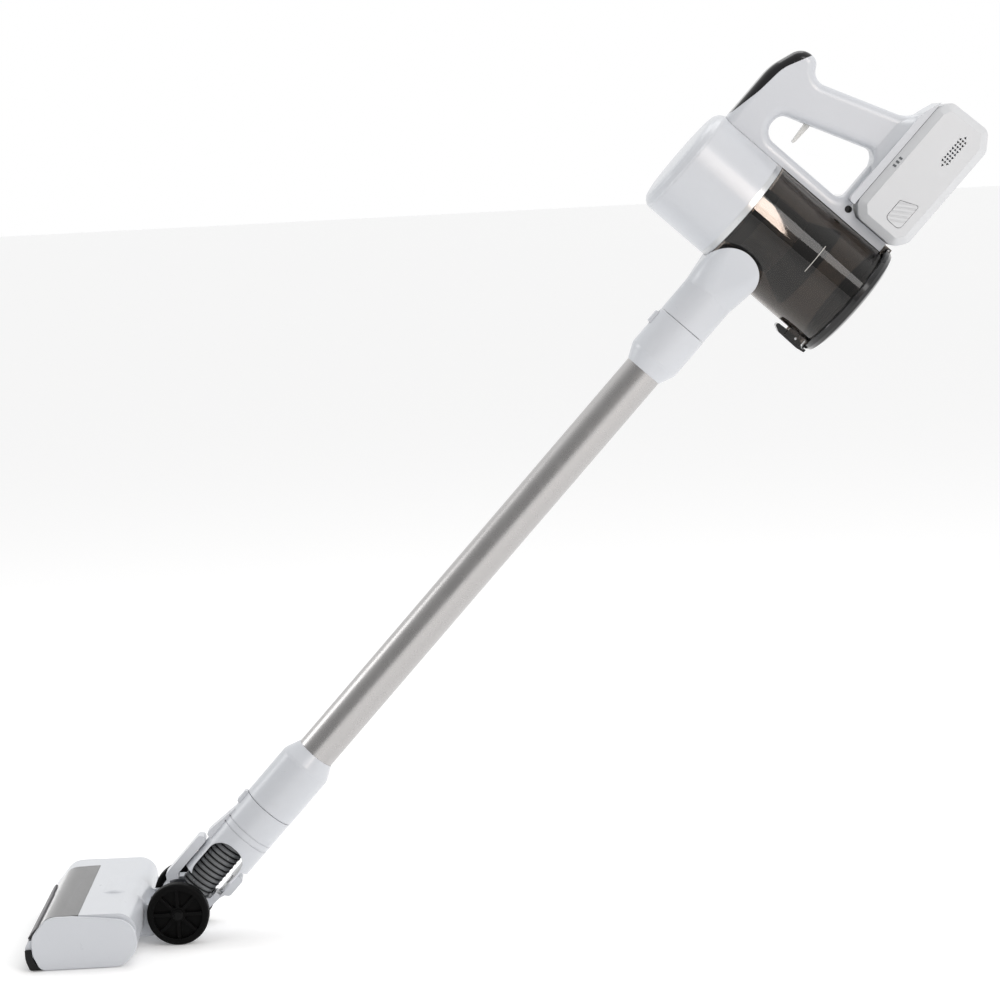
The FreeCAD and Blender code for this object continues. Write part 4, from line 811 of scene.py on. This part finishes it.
@dataclass
class FloorHead:
    """The powered floor head with its brush roll and wheels."""

    wardrobe: Wardrobe
    brush_x: float = -101.0
    brush_z: float = 25.6
    core_radius: float = 16.0
    bristle_radius: float = 23.9
    half_length: float = 97.4
    tufts_per_row: int = 78
    fibres_per_tuft: int = 16
    tuft_radius: float = 1.2
    twist_deg: float = 396.0
    fibre_radius: float = 0.14
    slope_foot: tuple[float, float] = (-139.4, 31.0)
    slope_head: tuple[float, float] = (-121.0, 52.5)
    strip_proud: float = 1.5
    strip_steps: tuple[tuple[float, float], ...] = (
        (-116.0, 11.0), (34.0, 11.0), (34.6, 8.0), (72.0, 8.0), (72.6, 4.5), (92.0, 4.5),
    )

    def build(self) -> None:
        """Dress the head's nodes and plant the brush's bristles."""
        self.wardrobe.dress_nodes({
            "head_shell": WHITE_SHELL, "head_window": SMOKED_WINDOW, "sole_plate": BLACK_MATTE,
            "bumper": BLACK_MATTE, "end_cap_left": WHITE_SHELL, "end_cap_right": WHITE_SHELL,
            "brush_core": BLACK_MATTE, "brush_bearings": STEEL, "brush_motor": DARK_METAL,
            "motor_pulley": STEEL, "drive_belt": SEAL, "wheel_axles": STEEL, "wheel_left": TYRE,
            "wheel_right": TYRE, "wheel_cap_left": WHEEL_GLOSS, "wheel_cap_right": WHEEL_GLOSS,
        })
        tufts = self._bristle_tufts()
        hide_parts("brush_bristles")
        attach(tufts, "brush_roll")
        self.wardrobe.dress(tufts, BRISTLES)
        log.info("bristle_tufts: %d fibres", 2 * self.tufts_per_row * self.fibres_per_tuft)
        strip = self._nose_strip()
        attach(strip, "head")
        self.wardrobe.dress(strip, NOSE_STRIP)
        log.info("nose_strip: steps down toward the far end")

    def _nose_strip(self) -> bpy.types.Object:
        """The dark stepped strip along the foot of the window's slope."""
        foot_x, foot_z = self.slope_foot
        run = self.slope_head[0] - foot_x
        rise = self.slope_head[1] - foot_z
        length = math.hypot(run, rise)
        along = (run / length, rise / length)
        maker = MeshMaker()
        rings = []
        for y, height in self.strip_steps:
            section = (
                (-1.0, 0.05), (-0.6, self.strip_proud - 0.3), (0.0, self.strip_proud),
                (height - 0.5, self.strip_proud), (height, self.strip_proud - 0.4),
                (height + 0.2, 0.05),
            )
            rings.append([
                WAND.head(foot_x + s * along[0] - out * along[1], y,
                          foot_z + s * along[1] + out * along[0])
                for s, out in section
            ])
        maker.ring_tube(rings)
        return maker.piece("nose_strip", smooth=False)

    def _bristle_tufts(self) -> bpy.types.Object:
        """Two helical rows of tufts that meet in a V at the middle of the roll."""
        maker = MeshMaker()
        chance = random.Random(7)
        for row in (0.0, math.pi):
            for i in range(self.tufts_per_row):
                y = self.half_length * (2 * (i + 0.5) / self.tufts_per_row - 1)
                turn = row + math.radians(self.twist_deg / 2) * abs(y) / self.half_length
                for _ in range(self.fibres_per_tuft):
                    self._fibre(maker, chance, y, turn)
        return maker.piece("bristle_tufts", smooth=False)

    def _fibre(self, maker: MeshMaker, chance: random.Random, y: float, turn: float) -> None:
        """Add one tapered fibre.

        Args:
            maker: The mesh that it joins.
            chance: The seeded scatter.
            y: The tuft's place along the roll.
            turn: The tuft's angle about the roll.
        """
        root_y = y + chance.uniform(-self.tuft_radius, self.tuft_radius)
        tip_y = root_y + chance.uniform(-0.7, 0.7)
        root_turn = turn + chance.uniform(-self.tuft_radius, self.tuft_radius) / self.core_radius
        tip_turn = root_turn + chance.uniform(-0.05, 0.05)
        tip = self.bristle_radius - chance.uniform(0.0, 0.6)
        rings = []
        ends = (
            (self.core_radius - 0.5, root_y, root_turn, self.fibre_radius),
            (tip, tip_y, tip_turn, self.fibre_radius * 0.5),
        )
        for radius, place_y, angle, width in ends:
            ring = []
            for k in range(3):
                side = 2 * math.pi * k / 3
                across = width * math.cos(side)
                ring.append(WAND.head(
                    self.brush_x + radius * math.sin(angle) + across * math.cos(angle),
                    min(max(place_y + width * math.sin(side), -self.half_length), self.half_length),
                    self.brush_z + radius * math.cos(angle) - across * math.sin(angle)))
            rings.append(ring)
        maker.ring_tube(rings)


@dataclass(frozen=True)
class Softbox:
    """One softbox: where it hangs, what it faces and how strong it is."""

    name: str
    at: tuple[float, float, float]
    toward: tuple[float, float, float]
    size: tuple[float, float]
    power: float
    colour: Colour = (1.0, 1.0, 1.0)
    upright: tuple[float, float, float] = (0.0, 0.0, 1.0)


SOFTBOXES = (
    Softbox("key_softbox", (1.5, -2.7, 2.2), (0.05, 0.0, 0.45), (1.5, 1.5), 22.0),
    Softbox("side_softbox", (-2.4, 0.7, 1.5), (0.0, 0.0, 0.5), (0.9, 0.9), 7.0),
    Softbox("top_softbox", (0.2, 0.9, 2.7), (0.0, 0.0, 0.4), (1.4, 1.4), 12.0),
    Softbox("strip_softbox", (1.04, -1.76, 1.26), (0.28, 0.0, 0.68), (0.08, 1.05), 5.5,
            colour=(1.0, 0.84, 0.73), upright=(math.sin(LEAN), 0.0, math.cos(LEAN))),
)


@dataclass
class Studio:
    """The pale floor, the soft light and the camera."""

    camera_at: tuple[float, float, float] = (-0.0520, -3.1120, 0.7830)
    camera_right: tuple[float, float, float] = (0.998516, -0.021, -0.050255)
    camera_up: tuple[float, float, float] = (0.052330, 0.114, 0.992102)
    camera_back: tuple[float, float, float] = (-0.015105, -0.993259, 0.114930)
    lens: float = 113.04
    floor_half: float = 30.0

    def build(self) -> None:
        """Set up the whole studio."""
        self._camera()
        self._floor()
        self._surround()
        bpy.context.scene.view_settings.view_transform = "Standard"
        for box in SOFTBOXES:
            self._lamp(box)
        log.info("studio: camera, floor and %d softboxes", len(SOFTBOXES))

    def _camera(self) -> None:
        """Place the camera."""
        data = bpy.data.cameras.new("camera")
        data.lens = self.lens
        data.sensor_width = 36.0
        camera = bpy.data.objects.new("camera", data)
        rows = Matrix((self.camera_right, self.camera_up, self.camera_back))
        columns = rows.transposed().to_4x4()
        camera.matrix_world = Matrix.Translation(self.camera_at) @ columns
        bpy.context.scene.collection.objects.link(camera)
        bpy.context.scene.camera = camera

    def _floor(self) -> None:
        """Lay the floor as a wide sheet with a faint mottle."""
        maker = MeshMaker()
        half = self.floor_half
        corners = ((-half, -half), (half, -half), (half, half), (-half, half))
        maker.points = [Vector((x, y, 0.0)) for x, y in corners]
        maker.faces = [(0, 1, 2, 3)]
        floor = maker.piece("studio_floor", smooth=False)
        material = bpy.data.materials.new("studio_paper")
        material.use_nodes = True
        tree = material.node_tree
        shader = tree.nodes["Principled BSDF"]
        mottle = tree.nodes.new("ShaderNodeTexNoise")
        mottle.inputs["Scale"].default_value = 3.0
        tint = tree.nodes.new("ShaderNodeMix")
        tint.data_type = "RGBA"
        tint.inputs[6].default_value = (0.92, 0.92, 0.92, 1)
        tint.inputs[7].default_value = (0.95, 0.95, 0.95, 1)
        tree.links.new(mottle.outputs["Fac"], tint.inputs[0])
        tree.links.new(tint.outputs[2], shader.inputs["Base Color"])
        shader.inputs["Roughness"].default_value = 0.9
        shader.inputs["Specular IOR Level"].default_value = 0.1
        shader.inputs["Emission Color"].default_value = (1.0, 1.0, 1.0, 1)
        shader.inputs["Emission Strength"].default_value = 0.16
        floor.data.materials.append(material)

    def _surround(self) -> None:
        """Light the scene from all round, softer from the front and the left."""
        world = bpy.data.worlds.new("studio_surround")
        world.use_nodes = True
        tree = world.node_tree
        background = tree.nodes["Background"]
        place = tree.nodes.new("ShaderNodeTexCoord")
        facing = tree.nodes.new("ShaderNodeVectorMath")
        facing.operation = "DOT_PRODUCT"
        facing.inputs[1].default_value = (0.42, 0.9, 0.0)
        ramp = tree.nodes.new("ShaderNodeMapRange")
        ramp.interpolation_type = "SMOOTHSTEP"
        ramp.inputs["From Min"].default_value = -1.0
        ramp.inputs["From Max"].default_value = 0.35
        ramp.inputs["To Min"].default_value = 0.38
        ramp.inputs["To Max"].default_value = 1.0
        tree.links.new(place.outputs["Generated"], facing.inputs[0])
        tree.links.new(facing.outputs["Value"], ramp.inputs["Value"])
        tree.links.new(ramp.outputs[0], background.inputs["Strength"])
        background.inputs["Color"].default_value = (1.0, 1.0, 1.0, 1)
        bpy.context.scene.world = world

    def _lamp(self, box: Softbox) -> None:
        """Hang one softbox.

        Args:
            box: What to hang.
        """
        data = bpy.data.lights.new(box.name, "AREA")
        data.shape = "RECTANGLE"
        data.size, data.size_y = box.size
        data.energy = box.power
        data.color = box.colour
        lamp = bpy.data.objects.new(box.name, data)
        back = (Vector(box.at) - Vector(box.toward)).normalized()
        right = Vector(box.upright).cross(back).normalized()
        columns = Matrix((right, back.cross(right), back)).transposed().to_4x4()
        lamp.matrix_world = Matrix.Translation(box.at) @ columns
        bpy.context.scene.collection.objects.link(lamp)


def main() -> None:
    """Build every sub-assembly in order."""
    logging.basicConfig(level=logging.INFO, format="%(name)s: %(message)s")
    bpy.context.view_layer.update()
    wardrobe = Wardrobe(SharedEffects())
    for part in (HandUnit, Battery, DustBin, Wand, Neck, FloorHead):
        part(wardrobe).build()
    Studio().build()


if __name__ == "__main__":
    main()
